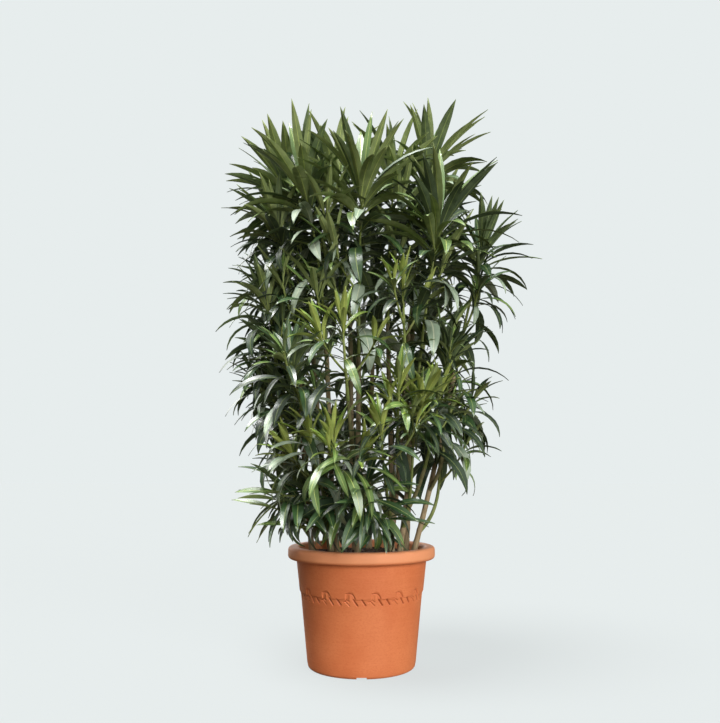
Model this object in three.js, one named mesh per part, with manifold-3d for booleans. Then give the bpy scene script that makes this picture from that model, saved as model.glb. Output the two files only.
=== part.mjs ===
// A potted oleander: a clump of leaning stems in a round pot, each stem and bough
// ending in a mass of long narrow leaves.
// Units are millimetres. +Z is up, -Y faces the viewer, and the origin is the centre
// of the flat underside of the pot. Bearings are degrees from +X, counterclockwise
// seen from above, so -90 is the front.

import * as THREE from 'three';
import { mergeVertices } from 'three/addons/utils/BufferGeometryUtils.js';
import Module from 'manifold-3d';

const wasm = await Module();
wasm.setup();

// Clearances
const GAP = 0.3;
const LEAF_GUARD = 0.9;

// Pot
const POT_HEIGHT = 236;
const RIM_RADIUS = 150;
const RIM_HEIGHT = 24;
const RIM_ROUND = 4;
const RIM_INNER_RADIUS = 127;
const WALL_TOP_RADIUS = 133;
const FOOT_RADIUS = 108;
const FOOT_ROUND = 6;
const WALL = 5;
const FLOOR = 6;
const BAND_HEIGHT = 150;
const BAND_STEP = 1.8;
const POT_SIDES = 44;
const CHANNEL_WIDTH = 19;
const CHANNEL_DEPTH = 4;
const CHANNEL_START = 62;
const CHANNELS = 4;
const DRAIN_RADIUS = 7;
const DRAIN_SIDES = 12;

// Soil
const SOIL_TOP = 220;
const SOIL_EDGE_DIP = 3;
const SOIL_EDGE_WIDTH = 9;

// Limbs
const STEM_SIDES = 7;
const STEM_STEP = 90;
const STEM_FOOT_RADIUS = 5.5;
const STEM_TIP_RADIUS = 4.3;
const STEM_LEAN = 1.2;
const STEM_TIP_LEAN = 0.28;
const STEM_HANDLE = 0.36;
const FLARE = 0.3;
const FLARE_HEIGHT = 20;
const FOOT_EASE = 1.6;
const BOUGH_SIDES = 6;
const BOUGH_STEP = 55;
const BOUGH_FOOT_SHARE = 0.72;
const BOUGH_TIP_RADIUS = 3.8;
const FORK_LEAN = 0.95;
const FORK_RISE = 0.35;
const FORK_HANDLE = 0.35;
const TWIG_RADIUS = 4.2;
const TWIG_TIP_RADIUS = 2.8;
const TWIG_SIDES = 3;
const TWIG_STEP = 90;
// A shoot starts a little thinner than the limb that it goes on from
const STEM_SHOOT_SHARE = 0.8;
const BOUGH_SHOOT_SHARE = 0.9;

// A leaf is a slim kite, arched along its middle
const LEAF_WIDTH_SHARE = 0.235;
const LEAF_BROADEST = 0.43;
const LEAF_RIDGE = 2.6;
const BLADE_START = 0.3;
const LEAF_ROOT = 2.2;
const LEAF_ROOT_OUT = 1.3;
const HINGE_ACROSS = 0.35;
const LOWER_BEND = 0.25;
const UPPER_BEND = 0.75;
const LEAFLESS_FOOT = 8;

// How far a leaf's own numbers stray from the rule: turn and roll in radians, spread in
// degrees, droop and length as shares with the least one first
const TURN_PLAY = 0.5;
const ROLL_PLAY = 0.7;
const SPREAD_PLAY = 16;
const DROOP_LEAST = 0.65;
const DROOP_PLAY = 0.7;
const LENGTH_LEAST = 0.88;
const LENGTH_PLAY = 0.24;

// Side twigs start between these shares of the leafy length below the tip
const SIDE_LOW = 0.55;
const SIDE_RANGE = 0.25;
const SIDE_LENGTH = 0.6;
const SIDE_THICKNESS = 0.75;
const SIDE_TURN = 70;
const SIDE_TURN_RANGE = 30;
const SIDE_LEAN = 0.9;
const SIDE_BEND = 0.55;
const SIDE_FEWER_RINGS = 2;

// A mass is known by points along its stem and one beyond its tip. A leaf may reach this
// much nearer to another mass's points than to its own.
const SPACE_SHARE = 2.2;
const SPINE_PARTS = [0, 0.25, 0.5, 0.75, 1];
const SPINE_BEYOND = 0.4;

// Turns, and shares of its length, with which a leaf is tried
const LEAF_TRIES = [[0, 1], [0.3, 0.95], [-0.3, 0.9], [0.15, 0.78], [-0.15, 0.64]];

// Seeded numbers
const LCG_FACTOR = 1664525;
const LCG_SHIFT = 1013904223;
const LCG_SIZE = 4294967296;
const SEED_STEP = 7919;
const SEED_START = 17;

const MERGE_DISTANCE = 1e-4;

const COLOURS = {
  pot: '#c9794a',
  soil: '#3a2c22',
  stem: '#7d6a52',
  bough: '#8a7a55',
  leaf: '#5c6b3a',
  young: '#9aa83f',
};

const ROUGHNESS = { pot: 0.5, soil: 0.95, wood: 0.8, leaf: 0.55 };

// How each kind of mass grows. leafy is the length of shoot that carries leaves, whorls
// the number of rings of three leaves on it, first and spacing the distances of the
// rings from the tip, and spread how much wider apart each next ring is. steep and wide
// are the leaves' angles off the shoot at its tip and lower down, opening the ring that
// is half open, and droop how far the lower leaves bend down. length is a leaf's length,
// tipShare and lowShare its shares at the tip and lower down, side the number of side
// twigs, and colour one of the colours above.
const KINDS = {
  crown: {
    leafy: 340, whorls: 10, first: 6, spacing: 18, spread: 1.13, steep: 15, wide: 80,
    opening: 2.5, droop: 120, length: 182, tipShare: 0.98, lowShare: 0.72, side: 0, colour: 'leaf',
  },
  outer: {
    leafy: 260, whorls: 8, first: 6, spacing: 17, spread: 1.15, steep: 16, wide: 80,
    opening: 2.3, droop: 122, length: 138, tipShare: 0.92, lowShare: 0.82, side: 0, colour: 'leaf',
  },
  side: {
    leafy: 190, whorls: 6, first: 6, spacing: 16, spread: 1.25, steep: 18, wide: 78,
    opening: 2.0, droop: 126, length: 126, tipShare: 0.8, lowShare: 1, side: 0, colour: 'leaf',
  },
  young: {
    leafy: 150, whorls: 5, first: 6, spacing: 15, spread: 1.4, steep: 8, wide: 86,
    opening: 1.7, droop: 124, length: 84, tipShare: 0.9, lowShare: 1.6, side: 1, colour: 'young',
  },
  tuft: {
    leafy: 90, whorls: 4, first: 5, spacing: 14, spread: 1.4, steep: 8, wide: 80,
    opening: 2.0, droop: 120, length: 82, tipShare: 0.9, lowShare: 1.25, side: 0, colour: 'young',
  },
  skirt: {
    leafy: 140, whorls: 5, first: 6, spacing: 18, spread: 1.25, steep: 34, wide: 88,
    opening: 1.6, droop: 132, length: 142, tipShare: 0.7, lowShare: 0.95, side: 1, colour: 'leaf',
  },
};

// Each stem runs from its foot in the soil to the tip of a crown shoot:
// name, bearing and reach of the foot, bearing, reach and height of the tip, kind.
const STEMS = [
  ['front_left', -150, 56, -151, 136, 970, 'crown'],
  ['front', -100, 46, -90, 112, 950, 'crown'],
  ['right', 7, 92, 21, 168, 1066, 'crown'],
  ['front_right', -29, 86, -39, 200, 870, 'crown'],
  ['far_right', -10, 106, -4, 260, 852, 'outer'],
  ['left', 150, 74, 163, 174, 1014, 'crown'],
  ['far_left', -176, 100, -172, 182, 905, 'outer'],
  ['middle', 22, 68, 34, 90, 1034, 'crown'],
  ['back', 105, 52, 117, 124, 1062, 'crown'],
  ['back_right', 48, 92, 40, 200, 978, 'outer'],
  ['far_back', 80, 96, 81, 226, 960, 'outer'],
  ['back_left', 130, 96, 139, 210, 936, 'outer'],
];

// Boughs fork off a stem, at a share of its length, and end in a mass:
// name, stem, share, bearing, reach and height of the tip, kind.
const BOUGHS = [
  ['upper_left', 'left', 0.5, 168, 198, 806, 'side'],
  ['left', 'far_left', 0.42, -171, 202, 738, 'side'],
  ['lower_left', 'far_left', 0.22, 179, 188, 646, 'side'],
  ['low_front_left', 'front_left', 0.32, -130, 208, 594, 'side'],
  ['front_centre', 'front', 0.36, -100, 207, 662, 'young'],
  ['front_upper', 'front_right', 0.4, -65, 188, 741, 'young'],
  ['low_front', 'middle', 0.16, -73, 233, 545, 'young'],
  ['low_front_right', 'front_right', 0.26, -48, 222, 533, 'young'],
  ['lower_right', 'far_right', 0.34, -28, 198, 604, 'side'],
  ['right_back', 'back_right', 0.4, 46, 226, 730, 'side'],
  ['low_back_left', 'back_left', 0.35, 143, 222, 640, 'side'],
];

// Sprigs spring straight from a stem with no bough between:
// name, stem, share, bearing, reach and height of the tip, kind.
const SPRIGS = [
  ['front_left_tuft', 'front_left', 0.16, -119, 198, 456, 'young'],
  ['front_tuft', 'front', 0.2, -103, 229, 450, 'young'],
  ['centre_tuft', 'middle', 0.08, -81, 226, 463, 'tuft'],
  ['right_tuft', 'front_right', 0.18, -60, 200, 500, 'tuft'],
  ['left_low', 'far_left', 0.08, -163, 150, 548, 'side'],
  ['right_low', 'far_right', 0.12, 2, 176, 540, 'side'],
  ['middle_back', 'far_back', 0.35, 92, 258, 641, 'side'],
  ['back_low_right', 'back_right', 0.22, 60, 220, 580, 'side'],
  ['back_low', 'far_back', 0.16, 105, 216, 470, 'side'],
  ['back_low_left', 'back_left', 0.18, 146, 180, 500, 'side'],
  ['skirt_left', 'front_left', 0.08, -140, 118, 368, 'skirt'],
  ['skirt_front', 'front', 0.08, -86, 122, 366, 'skirt'],
];

const rad = THREE.MathUtils.degToRad;
const UP = new THREE.Vector3(0, 0, 1);
const DOWN = new THREE.Vector3(0, 0, -1);

function seeded(seed) {
  let state = seed % LCG_SIZE;
  return () => {
    state = (state * LCG_FACTOR + LCG_SHIFT) % LCG_SIZE;
    return state / LCG_SIZE;
  };
}

function place(bearing, reach, height) {
  const angle = rad(bearing);
  return new THREE.Vector3(reach * Math.cos(angle), reach * Math.sin(angle), height);
}

// Closed triangle meshes to solids and back

function solidFrom(positions, triangles) {
  return new wasm.Manifold(new wasm.Mesh({
    numProp: 3,
    vertProperties: Float32Array.from(positions),
    triVerts: Uint32Array.from(triangles),
  }));
}

function solidFromGeometry(geometry) {
  geometry.deleteAttribute('normal');
  geometry.deleteAttribute('uv');
  const merged = mergeVertices(geometry, MERGE_DISTANCE);
  return solidFrom(merged.attributes.position.array, merged.index.array);
}

function geometryFrom(solid) {
  const mesh = solid.getMesh();
  const geometry = new THREE.BufferGeometry();
  geometry.setAttribute('position', new THREE.BufferAttribute(mesh.vertProperties, 3));
  geometry.setIndex(new THREE.BufferAttribute(mesh.triVerts, 1));
  return geometry;
}

function largest(solid) {
  const pieces = solid.decompose();
  return pieces.reduce((best, piece) => (piece.volume() > best.volume() ? piece : best));
}

// Pot and soil

function wallRadius(height) {
  const share = height / (POT_HEIGHT - RIM_HEIGHT);
  return FOOT_RADIUS + (WALL_TOP_RADIUS - FOOT_RADIUS) * share;
}

// Adds an arc of a circle to an outline.
function bend(points, centreX, centreZ, radius, from, to, steps) {
  for (let i = 0; i <= steps; i += 1) {
    const angle = rad(from + ((to - from) * i) / steps);
    const x = centreX + radius * Math.cos(angle);
    points.push(new THREE.Vector2(x, centreZ + radius * Math.sin(angle)));
  }
}

function turned(points, sides) {
  return solidFromGeometry(new THREE.LatheGeometry(points, sides).rotateX(Math.PI / 2));
}

function potSolid() {
  const rimFoot = POT_HEIGHT - RIM_HEIGHT;
  const outer = [new THREE.Vector2(0, 0)];
  bend(outer, FOOT_RADIUS - FOOT_ROUND, FOOT_ROUND, FOOT_ROUND, -90, 0, 2);
  const bandRadius = wallRadius(BAND_HEIGHT);
  outer.push(new THREE.Vector2(bandRadius - BAND_STEP, BAND_HEIGHT - BAND_STEP));
  outer.push(new THREE.Vector2(bandRadius, BAND_HEIGHT + BAND_STEP));
  outer.push(new THREE.Vector2(WALL_TOP_RADIUS, rimFoot));
  bend(outer, RIM_RADIUS - RIM_ROUND, rimFoot + RIM_ROUND, RIM_ROUND, -90, 0, 2);
  bend(outer, RIM_RADIUS - RIM_ROUND, POT_HEIGHT - RIM_ROUND, RIM_ROUND, 0, 90, 2);
  bend(outer, RIM_INNER_RADIUS + RIM_ROUND, POT_HEIGHT - RIM_ROUND, RIM_ROUND, 90, 180, 2);
  outer.push(new THREE.Vector2(FOOT_RADIUS - WALL, FLOOR));
  outer.push(new THREE.Vector2(0, FLOOR));
  let pot = turned(outer, POT_SIDES);
  for (let i = 0; i < CHANNELS; i += 1) {
    const turn = rad(-90 + (360 * i) / CHANNELS);
    const length = FOOT_RADIUS + WALL - CHANNEL_START;
    const channel = new THREE.BoxGeometry(length, CHANNEL_WIDTH, 2 * CHANNEL_DEPTH);
    channel.translate(CHANNEL_START + length / 2, 0, 0).rotateZ(turn);
    pot = pot.subtract(solidFromGeometry(channel));
    const depth = 4 * FLOOR;
    const drain = new THREE.CylinderGeometry(DRAIN_RADIUS, DRAIN_RADIUS, depth, DRAIN_SIDES);
    drain.rotateX(Math.PI / 2).translate(CHANNEL_START + DRAIN_RADIUS, 0, 0).rotateZ(turn);
    pot = pot.subtract(solidFromGeometry(drain));
  }
  return pot;
}

function soilSolid() {
  const slope = (RIM_INNER_RADIUS - (FOOT_RADIUS - WALL)) / (POT_HEIGHT - RIM_ROUND - FLOOR);
  const radiusAt = (height) => FOOT_RADIUS - WALL + slope * (height - FLOOR) - 2 * GAP;
  const edge = SOIL_TOP - SOIL_EDGE_DIP;
  return turned([
    new THREE.Vector2(0, FLOOR + GAP),
    new THREE.Vector2(radiusAt(FLOOR + GAP), FLOOR + GAP),
    new THREE.Vector2(radiusAt(edge), edge),
    new THREE.Vector2(radiusAt(edge) - SOIL_EDGE_WIDTH, SOIL_TOP),
    new THREE.Vector2(0, SOIL_TOP),
  ], POT_SIDES);
}

// Limbs: tapering lofts along a curve, with rings kept from twisting

function ringFrames(curve, from, to, steps, ease) {
  const frames = [];
  let side = new THREE.Vector3(1, 0.2, 0);
  for (let i = 0; i <= steps; i += 1) {
    const u = from + (to - from) * (i / steps) ** ease;
    const along = curve.getTangentAt(u);
    side = side.clone().addScaledVector(along, -side.dot(along)).normalize();
    const across = along.clone().cross(side);
    frames.push({ u, centre: curve.getPointAt(u), along, side, across });
  }
  return frames;
}

function loft(frames, radiusAt, sides, groundHeight) {
  const positions = [];
  const triangles = [];
  frames.forEach((frame, i) => {
    for (let j = 0; j < sides; j += 1) {
      const angle = (2 * Math.PI * j) / sides;
      const radius = radiusAt(frame.u);
      const point = frame.centre.clone();
      point.addScaledVector(frame.side, radius * Math.cos(angle));
      point.addScaledVector(frame.across, radius * Math.sin(angle));
      if (i === 0 && groundHeight !== undefined) {
        point.addScaledVector(frame.along, (groundHeight - point.z) / frame.along.z);
      }
      positions.push(point.x, point.y, point.z);
      const next = (j + 1) % sides;
      if (i > 0) {
        const [a, b] = [(i - 1) * sides + j, (i - 1) * sides + next];
        triangles.push(a, b, b + sides, a, b + sides, a + sides);
      }
    }
  });
  const top = (frames.length - 1) * sides;
  for (let j = 1; j < sides - 1; j += 1) {
    triangles.push(0, j + 1, j, top, top + j, top + j + 1);
  }
  return solidFrom(positions, triangles);
}

// A limb keeps its curve, the shares of it that are wood, and its radius at any share.
function limbSolid(limb, swell = 0) {
  const length = limb.curve.getLength() * (limb.to - limb.from);
  const steps = Math.max(2, Math.round(length / limb.step));
  const frames = ringFrames(limb.curve, limb.from, limb.to, steps, limb.ease);
  return loft(frames, (u) => limb.radiusAt(u) + swell, limb.sides, limb.ground);
}

// It leaves the soil with STEM_LEAN times its mean lean. Its rings lie closer together at
// the foot, where it flares.
function stemLimb(foot, tip, leafy) {
  const rise = tip.distanceTo(foot);
  const outward = new THREE.Vector3(tip.x - foot.x, tip.y - foot.y, 0).normalize();
  const lean = (STEM_LEAN * Math.hypot(tip.x - foot.x, tip.y - foot.y)) / (tip.z - foot.z);
  const start = UP.clone().addScaledVector(outward, lean).normalize();
  const end = UP.clone().addScaledVector(outward, STEM_TIP_LEAN).normalize();
  const curve = new THREE.CubicBezierCurve3(
    foot,
    foot.clone().addScaledVector(start, rise * STEM_HANDLE),
    tip.clone().addScaledVector(end, -rise * STEM_HANDLE),
    tip,
  );
  const length = curve.getLength();
  const taper = (u) => STEM_FOOT_RADIUS + (STEM_TIP_RADIUS - STEM_FOOT_RADIUS) * u;
  return {
    curve,
    from: 0,
    to: 1 - leafy / length,
    sides: STEM_SIDES,
    step: STEM_STEP,
    ease: FOOT_EASE,
    ground: SOIL_TOP + GAP,
    radiusAt: (u) => taper(u) * (1 + FLARE * Math.exp((-u * length) / FLARE_HEIGHT)),
  };
}

function forkCurve(parent, share, tip) {
  const u = parent.to * share;
  const start = parent.curve.getPointAt(u);
  const along = parent.curve.getTangentAt(u);
  const outward = new THREE.Vector3(tip.x - start.x, tip.y - start.y, 0).normalize();
  const span = tip.distanceTo(start);
  const leave = along.clone().addScaledVector(outward, FORK_LEAN).normalize();
  const end = UP.clone().addScaledVector(outward, FORK_RISE).normalize();
  return new THREE.CubicBezierCurve3(
    start,
    start.clone().addScaledVector(leave, span * FORK_HANDLE),
    tip.clone().addScaledVector(end, -span * FORK_HANDLE),
    tip,
  );
}

function boughLimb(parent, share, tip, leafy) {
  const curve = forkCurve(parent, share, tip);
  const foot = parent.radiusAt(parent.to * share) * BOUGH_FOOT_SHARE;
  const to = 1 - leafy / curve.getLength();
  return {
    curve,
    from: 0,
    to,
    sides: BOUGH_SIDES,
    step: BOUGH_STEP,
    ease: 1,
    radiusAt: (u) => foot + (BOUGH_TIP_RADIUS - foot) * Math.min(1, u / to),
  };
}

// A mass's own stem goes on along its limb's curve, or forks off a stem by itself.
function twigLimb(curve, from, radius) {
  return {
    curve,
    from,
    to: 1,
    sides: TWIG_SIDES,
    step: TWIG_STEP,
    ease: 1,
    radiusAt: (u) => radius + ((TWIG_TIP_RADIUS - radius) * (u - from)) / (1 - from),
  };
}

// Leaves

function leafCorners(root, axis, turn, spread, droop, roll, length, guard) {
  const reference = Math.abs(axis.z) > 0.5 ? new THREE.Vector3(1, 0, 0) : UP;
  const first = reference.clone().cross(axis).normalize();
  const second = axis.clone().cross(first);
  const outward = first.multiplyScalar(Math.cos(turn)).addScaledVector(second, Math.sin(turn));
  const across = axis.clone().cross(outward);
  const base = root.clone().addScaledVector(outward, LEAF_ROOT_OUT);
  const start = axis.clone().multiplyScalar(Math.cos(spread));
  start.addScaledVector(outward, Math.sin(spread));
  const hinge = start.clone().cross(DOWN).addScaledVector(across, HINGE_ACROSS).normalize();
  const lower = start.clone().applyAxisAngle(hinge, droop * LOWER_BEND);
  const upper = start.clone().applyAxisAngle(hinge, droop * UPPER_BEND);
  const middle = base.clone().addScaledVector(lower, length * LEAF_BROADEST);
  const tip = middle.clone().addScaledVector(upper, length * (1 - LEAF_BROADEST));
  const run = tip.clone().sub(base).normalize();
  const width = across.clone().applyAxisAngle(run, roll);
  width.addScaledVector(run, -width.dot(run)).normalize();
  const face = run.clone().cross(width);
  const half = (length * LEAF_WIDTH_SHARE) / 2 + guard;
  const lift = (vector, amount) => vector.clone().addScaledVector(face, amount);
  return [
    lift(base, -LEAF_ROOT / 2 - guard),
    lift(base, LEAF_ROOT / 2 + guard),
    lift(middle, -guard).addScaledVector(width, half),
    lift(middle, -guard).addScaledVector(width, -half),
    lift(middle, LEAF_RIDGE + guard),
    tip.addScaledVector(run, guard),
  ];
}

const LEAF_FACES = [
  [1, 4, 2], [1, 3, 4], [4, 5, 2], [4, 3, 5], [0, 2, 3], [2, 5, 3], [0, 1, 2], [0, 3, 1],
];

// The blade is the leaf without the stalk end, where leaves of one ring come together.
function bladeSolid(corners) {
  const [under, over, ...rest] = corners;
  const blade = [under, over].map((corner) => corner.clone().lerp(corners[4], BLADE_START));
  return leafSolid([...blade, ...rest]);
}

function leafSolid(corners) {
  const positions = corners.flatMap((corner) => corner.toArray());
  return solidFrom(positions, LEAF_FACES.flat());
}

// The leaves of one twig, tip first: rings of three, each turned half a step from the
// last, standing close round the tip and opening and drooping further down.
function leavesOf(twig, kind, count, random) {
  const leaves = [];
  const length = twig.curve.getLength();
  const firstTurn = random() * Math.PI;
  let back = kind.first;
  for (let ring = 0; ring < count; ring += 1) {
    const u = 1 - back / length;
    if (u < twig.from + LEAFLESS_FOOT / length) {
      break;
    }
    const open = ring ** 2 / (ring ** 2 + kind.opening ** 2);
    const grown = kind.tipShare + (1 - kind.tipShare) * Math.min(1, ring / 2);
    const size = kind.length * grown * (1 + (kind.lowShare - 1) * open);
    for (let k = 0; k < 3; k += 1) {
      const turn = firstTurn + (Math.PI / 3) * (2 * k + ring) + (random() - 0.5) * TURN_PLAY;
      const lean = kind.steep + (kind.wide - kind.steep) * open;
      leaves.push({
        root: twig.curve.getPointAt(u),
        axis: twig.curve.getTangentAt(u),
        turn,
        spread: rad(lean + (random() - 0.5) * SPREAD_PLAY),
        droop: rad(kind.droop * open * (DROOP_LEAST + random() * DROOP_PLAY)),
        roll: (random() - 0.5) * ROLL_PLAY,
        length: size * (LENGTH_LEAST + random() * LENGTH_PLAY),
      });
    }
    back += kind.spacing * kind.spread ** ring;
  }
  return leaves;
}

function leafyShare(twig, kind) {
  return Math.min(1, kind.leafy / twig.curve.getLength());
}

// Each side twig leaves the main one part of the way up its leafy length.
function sideTwigs(twig, kind, random) {
  const twigs = [];
  for (let i = 0; i < kind.side; i += 1) {
    const u = 1 - leafyShare(twig, kind) * (SIDE_LOW + random() * SIDE_RANGE);
    const root = twig.curve.getPointAt(u);
    const along = twig.curve.getTangentAt(u);
    const lean = root.clone().setZ(0).normalize();
    const sideways = random() < 0.5 ? -1 : 1;
    lean.applyAxisAngle(UP, sideways * rad(SIDE_TURN + random() * SIDE_TURN_RANGE));
    const leave = along.clone().addScaledVector(lean, SIDE_LEAN).normalize();
    const length = kind.leafy * SIDE_LENGTH;
    const bendPoint = root.clone().addScaledVector(leave, length * SIDE_BEND);
    const onward = leave.add(UP).normalize();
    const tip = bendPoint.clone().addScaledVector(onward, length * (1 - SIDE_BEND));
    const curve = new THREE.QuadraticBezierCurve3(root, bendPoint, tip);
    twigs.push(twigLimb(curve, 0, twig.radiusAt(u) * SIDE_THICKNESS));
  }
  return twigs;
}

// Building in order: limbs, then the twigs of every mass, then the leaves, each kept
// only where it stays in its own mass's space and clear of every limb and other mass.

function nearest(point, points) {
  return Math.sqrt(Math.min(...points.map((other) => point.distanceToSquared(other))));
}

function spinePoints(twig, kind) {
  const share = leafyShare(twig, kind);
  const points = SPINE_PARTS.map((part) => twig.curve.getPointAt(1 - share * part));
  const onward = twig.curve.getTangentAt(1).multiplyScalar(kind.length * SPINE_BEYOND);
  points.push(points[0].clone().add(onward));
  return points;
}

function boxOf(solid) {
  const { min, max } = solid.boundingBox();
  return new THREE.Box3(new THREE.Vector3(...min), new THREE.Vector3(...max));
}

function meets(solid, box, obstacles) {
  return obstacles.some((obstacle) => (
    box.intersectsBox(obstacle.box) && !solid.intersect(obstacle.solid).isEmpty()
  ));
}

const obstacles = [];
const limbs = new Map();
const pieces = [];

function addPiece(name, solid, colour, roughness) {
  pieces.push({ name, solid, colour, roughness });
  return solid;
}

function addObstacle(solid, owner) {
  obstacles.push({ solid, box: boxOf(solid), owner });
}

addObstacle(addPiece('pot', potSolid(), COLOURS.pot, ROUGHNESS.pot), 'pot');
addObstacle(addPiece('soil', soilSolid(), COLOURS.soil, ROUGHNESS.soil), 'soil');

const masses = [];

function addMass(name, twig, kindName, parent) {
  const kind = KINDS[kindName];
  const random = seeded(masses.length * SEED_STEP + SEED_START);
  const twigs = [twig, ...sideTwigs(twig, kind, random)];
  const spine = spinePoints(twig, kind);
  masses.push({ name, kind, twigs, parent, random, spine, blades: [] });
}

STEMS.forEach(([name, footBearing, footReach, bearing, reach, height, kindName]) => {
  const foot = place(footBearing, footReach, SOIL_TOP + GAP);
  const limb = stemLimb(foot, place(bearing, reach, height), KINDS[kindName].leafy);
  limbs.set(name, limb);
  addObstacle(addPiece(`stem_${name}`, limbSolid(limb), COLOURS.stem, ROUGHNESS.wood), name);
  const start = limb.to + GAP / limb.curve.getLength();
  const shoot = twigLimb(limb.curve, start, STEM_TIP_RADIUS * STEM_SHOOT_SHARE);
  addMass(`leaves_${name}_crown`, shoot, kindName);
});

BOUGHS.forEach(([name, parentName, share, bearing, reach, height, kindName]) => {
  const parent = limbs.get(parentName);
  const tip = place(bearing, reach, height);
  const limb = boughLimb(parent, share, tip, KINDS[kindName].leafy);
  const solid = largest(limbSolid(limb).subtract(limbSolid(parent, GAP)));
  addObstacle(addPiece(`bough_${name}`, solid, COLOURS.bough, ROUGHNESS.wood), name);
  const start = limb.to + GAP / limb.curve.getLength();
  const shoot = twigLimb(limb.curve, start, BOUGH_TIP_RADIUS * BOUGH_SHOOT_SHARE);
  addMass(`leaves_${name}`, shoot, kindName);
});

SPRIGS.forEach(([name, parentName, share, bearing, reach, height, kindName]) => {
  const parent = limbs.get(parentName);
  const curve = forkCurve(parent, share, place(bearing, reach, height));
  addMass(`leaves_${name}`, twigLimb(curve, 0, TWIG_RADIUS), kindName, parent);
});

masses.forEach((mass) => {
  mass.wood = wasm.Manifold.union(mass.twigs.map((twig) => limbSolid(twig)));
  if (mass.parent) {
    mass.wood = largest(mass.wood.subtract(limbSolid(mass.parent, GAP)));
  }
});
masses.forEach((mass) => addObstacle(mass.wood, mass.name));

// Low leaves hang inside the rim, not over it.
function overRim(corner) {
  return corner.z < POT_HEIGHT && Math.hypot(corner.x, corner.y) > RIM_INNER_RADIUS;
}

// A leaf that doesn't fit is tried again turned a little and shorter, then left out.
function fittingLeaf(leaf, mass) {
  for (const [turn, share] of LEAF_TRIES) {
    const size = leaf.length * share;
    const shape = [leaf.root, leaf.axis, leaf.turn + turn, leaf.spread, leaf.droop, leaf.roll];
    const guard = leafCorners(...shape, size, LEAF_GUARD);
    const free = guard.every((corner) => {
      const own = nearest(corner, mass.spine);
      return masses.every((other) => (
        other === mass || nearest(corner, other.spine) * SPACE_SHARE > own
      ));
    });
    if (free && !guard.some(overRim)) {
      const solid = leafSolid(guard);
      const others = obstacles.filter((obstacle) => obstacle.owner !== mass.name);
      const blade = bladeSolid(guard);
      const clear = !meets(solid, boxOf(solid), others);
      if (clear && !meets(blade, boxOf(blade), mass.blades)) {
        mass.blades.push({ solid: blade, box: boxOf(blade) });
        return leafSolid(leafCorners(...shape, size, 0));
      }
    }
  }
  return undefined;
}

masses.forEach((mass) => {
  const { kind, random } = mass;
  const leaves = mass.twigs.flatMap((twig, i) => (
    leavesOf(twig, kind, kind.whorls - (i === 0 ? 0 : SIDE_FEWER_RINGS), random)
  ));
  const kept = leaves.map((leaf) => fittingLeaf(leaf, mass)).filter((leaf) => leaf);
  kept.forEach((leaf) => addObstacle(leaf, mass.name));
  const solid = largest(wasm.Manifold.union([mass.wood, ...kept]));
  addPiece(mass.name, solid, COLOURS[kind.colour], ROUGHNESS.leaf);
});

const plant = new THREE.Group();
pieces.forEach(({ name, solid, colour, roughness }) => {
  const material = new THREE.MeshStandardMaterial({ color: colour, roughness, metalness: 0 });
  const mesh = new THREE.Mesh(geometryFrom(solid), material);
  mesh.name = name;
  plant.add(mesh);
});

export default plant;
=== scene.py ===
# %% [markdown]
# # A potted oleander
# An oleander is a shrub of many leaning stems that rise from one root. Its leaves are
# long, narrow and leathery, and stand in rings of three. This lesson dresses a packed
# model of such a plant in its pot: it keeps every size and place of that model, and
# makes the moulded pot, the soil, the bark and more than two thousand arched leaves.

import math

import bmesh
import bpy
import numpy as np
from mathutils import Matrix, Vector, noise


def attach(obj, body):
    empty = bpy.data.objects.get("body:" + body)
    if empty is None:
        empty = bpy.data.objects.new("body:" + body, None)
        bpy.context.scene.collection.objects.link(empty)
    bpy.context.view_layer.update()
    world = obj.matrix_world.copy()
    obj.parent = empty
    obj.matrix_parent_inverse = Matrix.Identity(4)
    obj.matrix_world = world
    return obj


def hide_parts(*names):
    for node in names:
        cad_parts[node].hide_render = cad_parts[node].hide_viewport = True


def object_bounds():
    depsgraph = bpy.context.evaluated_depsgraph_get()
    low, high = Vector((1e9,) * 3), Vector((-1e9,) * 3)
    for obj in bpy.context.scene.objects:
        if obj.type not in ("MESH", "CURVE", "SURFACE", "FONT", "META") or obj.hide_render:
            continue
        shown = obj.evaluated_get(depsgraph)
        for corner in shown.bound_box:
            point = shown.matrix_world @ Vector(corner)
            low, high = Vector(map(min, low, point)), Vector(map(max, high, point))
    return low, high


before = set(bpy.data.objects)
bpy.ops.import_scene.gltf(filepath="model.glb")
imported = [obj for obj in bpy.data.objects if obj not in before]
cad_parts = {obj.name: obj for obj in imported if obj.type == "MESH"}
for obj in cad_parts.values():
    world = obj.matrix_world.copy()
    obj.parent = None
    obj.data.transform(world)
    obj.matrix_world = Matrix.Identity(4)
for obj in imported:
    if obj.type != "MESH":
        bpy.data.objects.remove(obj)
cad_box = [list(corner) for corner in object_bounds()]
print("The solids reach from", cad_box[0], "to", cad_box[1])

# %% [markdown]
# Sizes below are in millimetres, as a gardener would measure them, and become metres
# where a mesh is made. Bearings are degrees seen from above, and -90 is the front.

# %% Units and seeded numbers
MM = 0.001
UP = np.array([0.0, 0.0, 1.0])
DOWN = -UP


def place(bearing, reach, height):
    """A point from its bearing, its distance from the pot's axis and its height."""
    angle = math.radians(bearing)
    return np.array([reach * math.cos(angle), reach * math.sin(angle), height])


def unit(vector):
    """The vector with length one."""
    return vector / np.linalg.norm(vector)


def turned(vector, axis, angle):
    """The vector turned about a unit axis, by the right-hand rule."""
    across = np.cross(axis, vector)
    along = axis * np.dot(axis, vector)
    return vector * math.cos(angle) + across * math.sin(angle) + along * (1 - math.cos(angle))


# Each number of a seeded row comes from the one before it by this common rule
ROW_FACTOR, ROW_STEP, ROW_LIMIT = 1664525, 1013904223, 2**32


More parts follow.
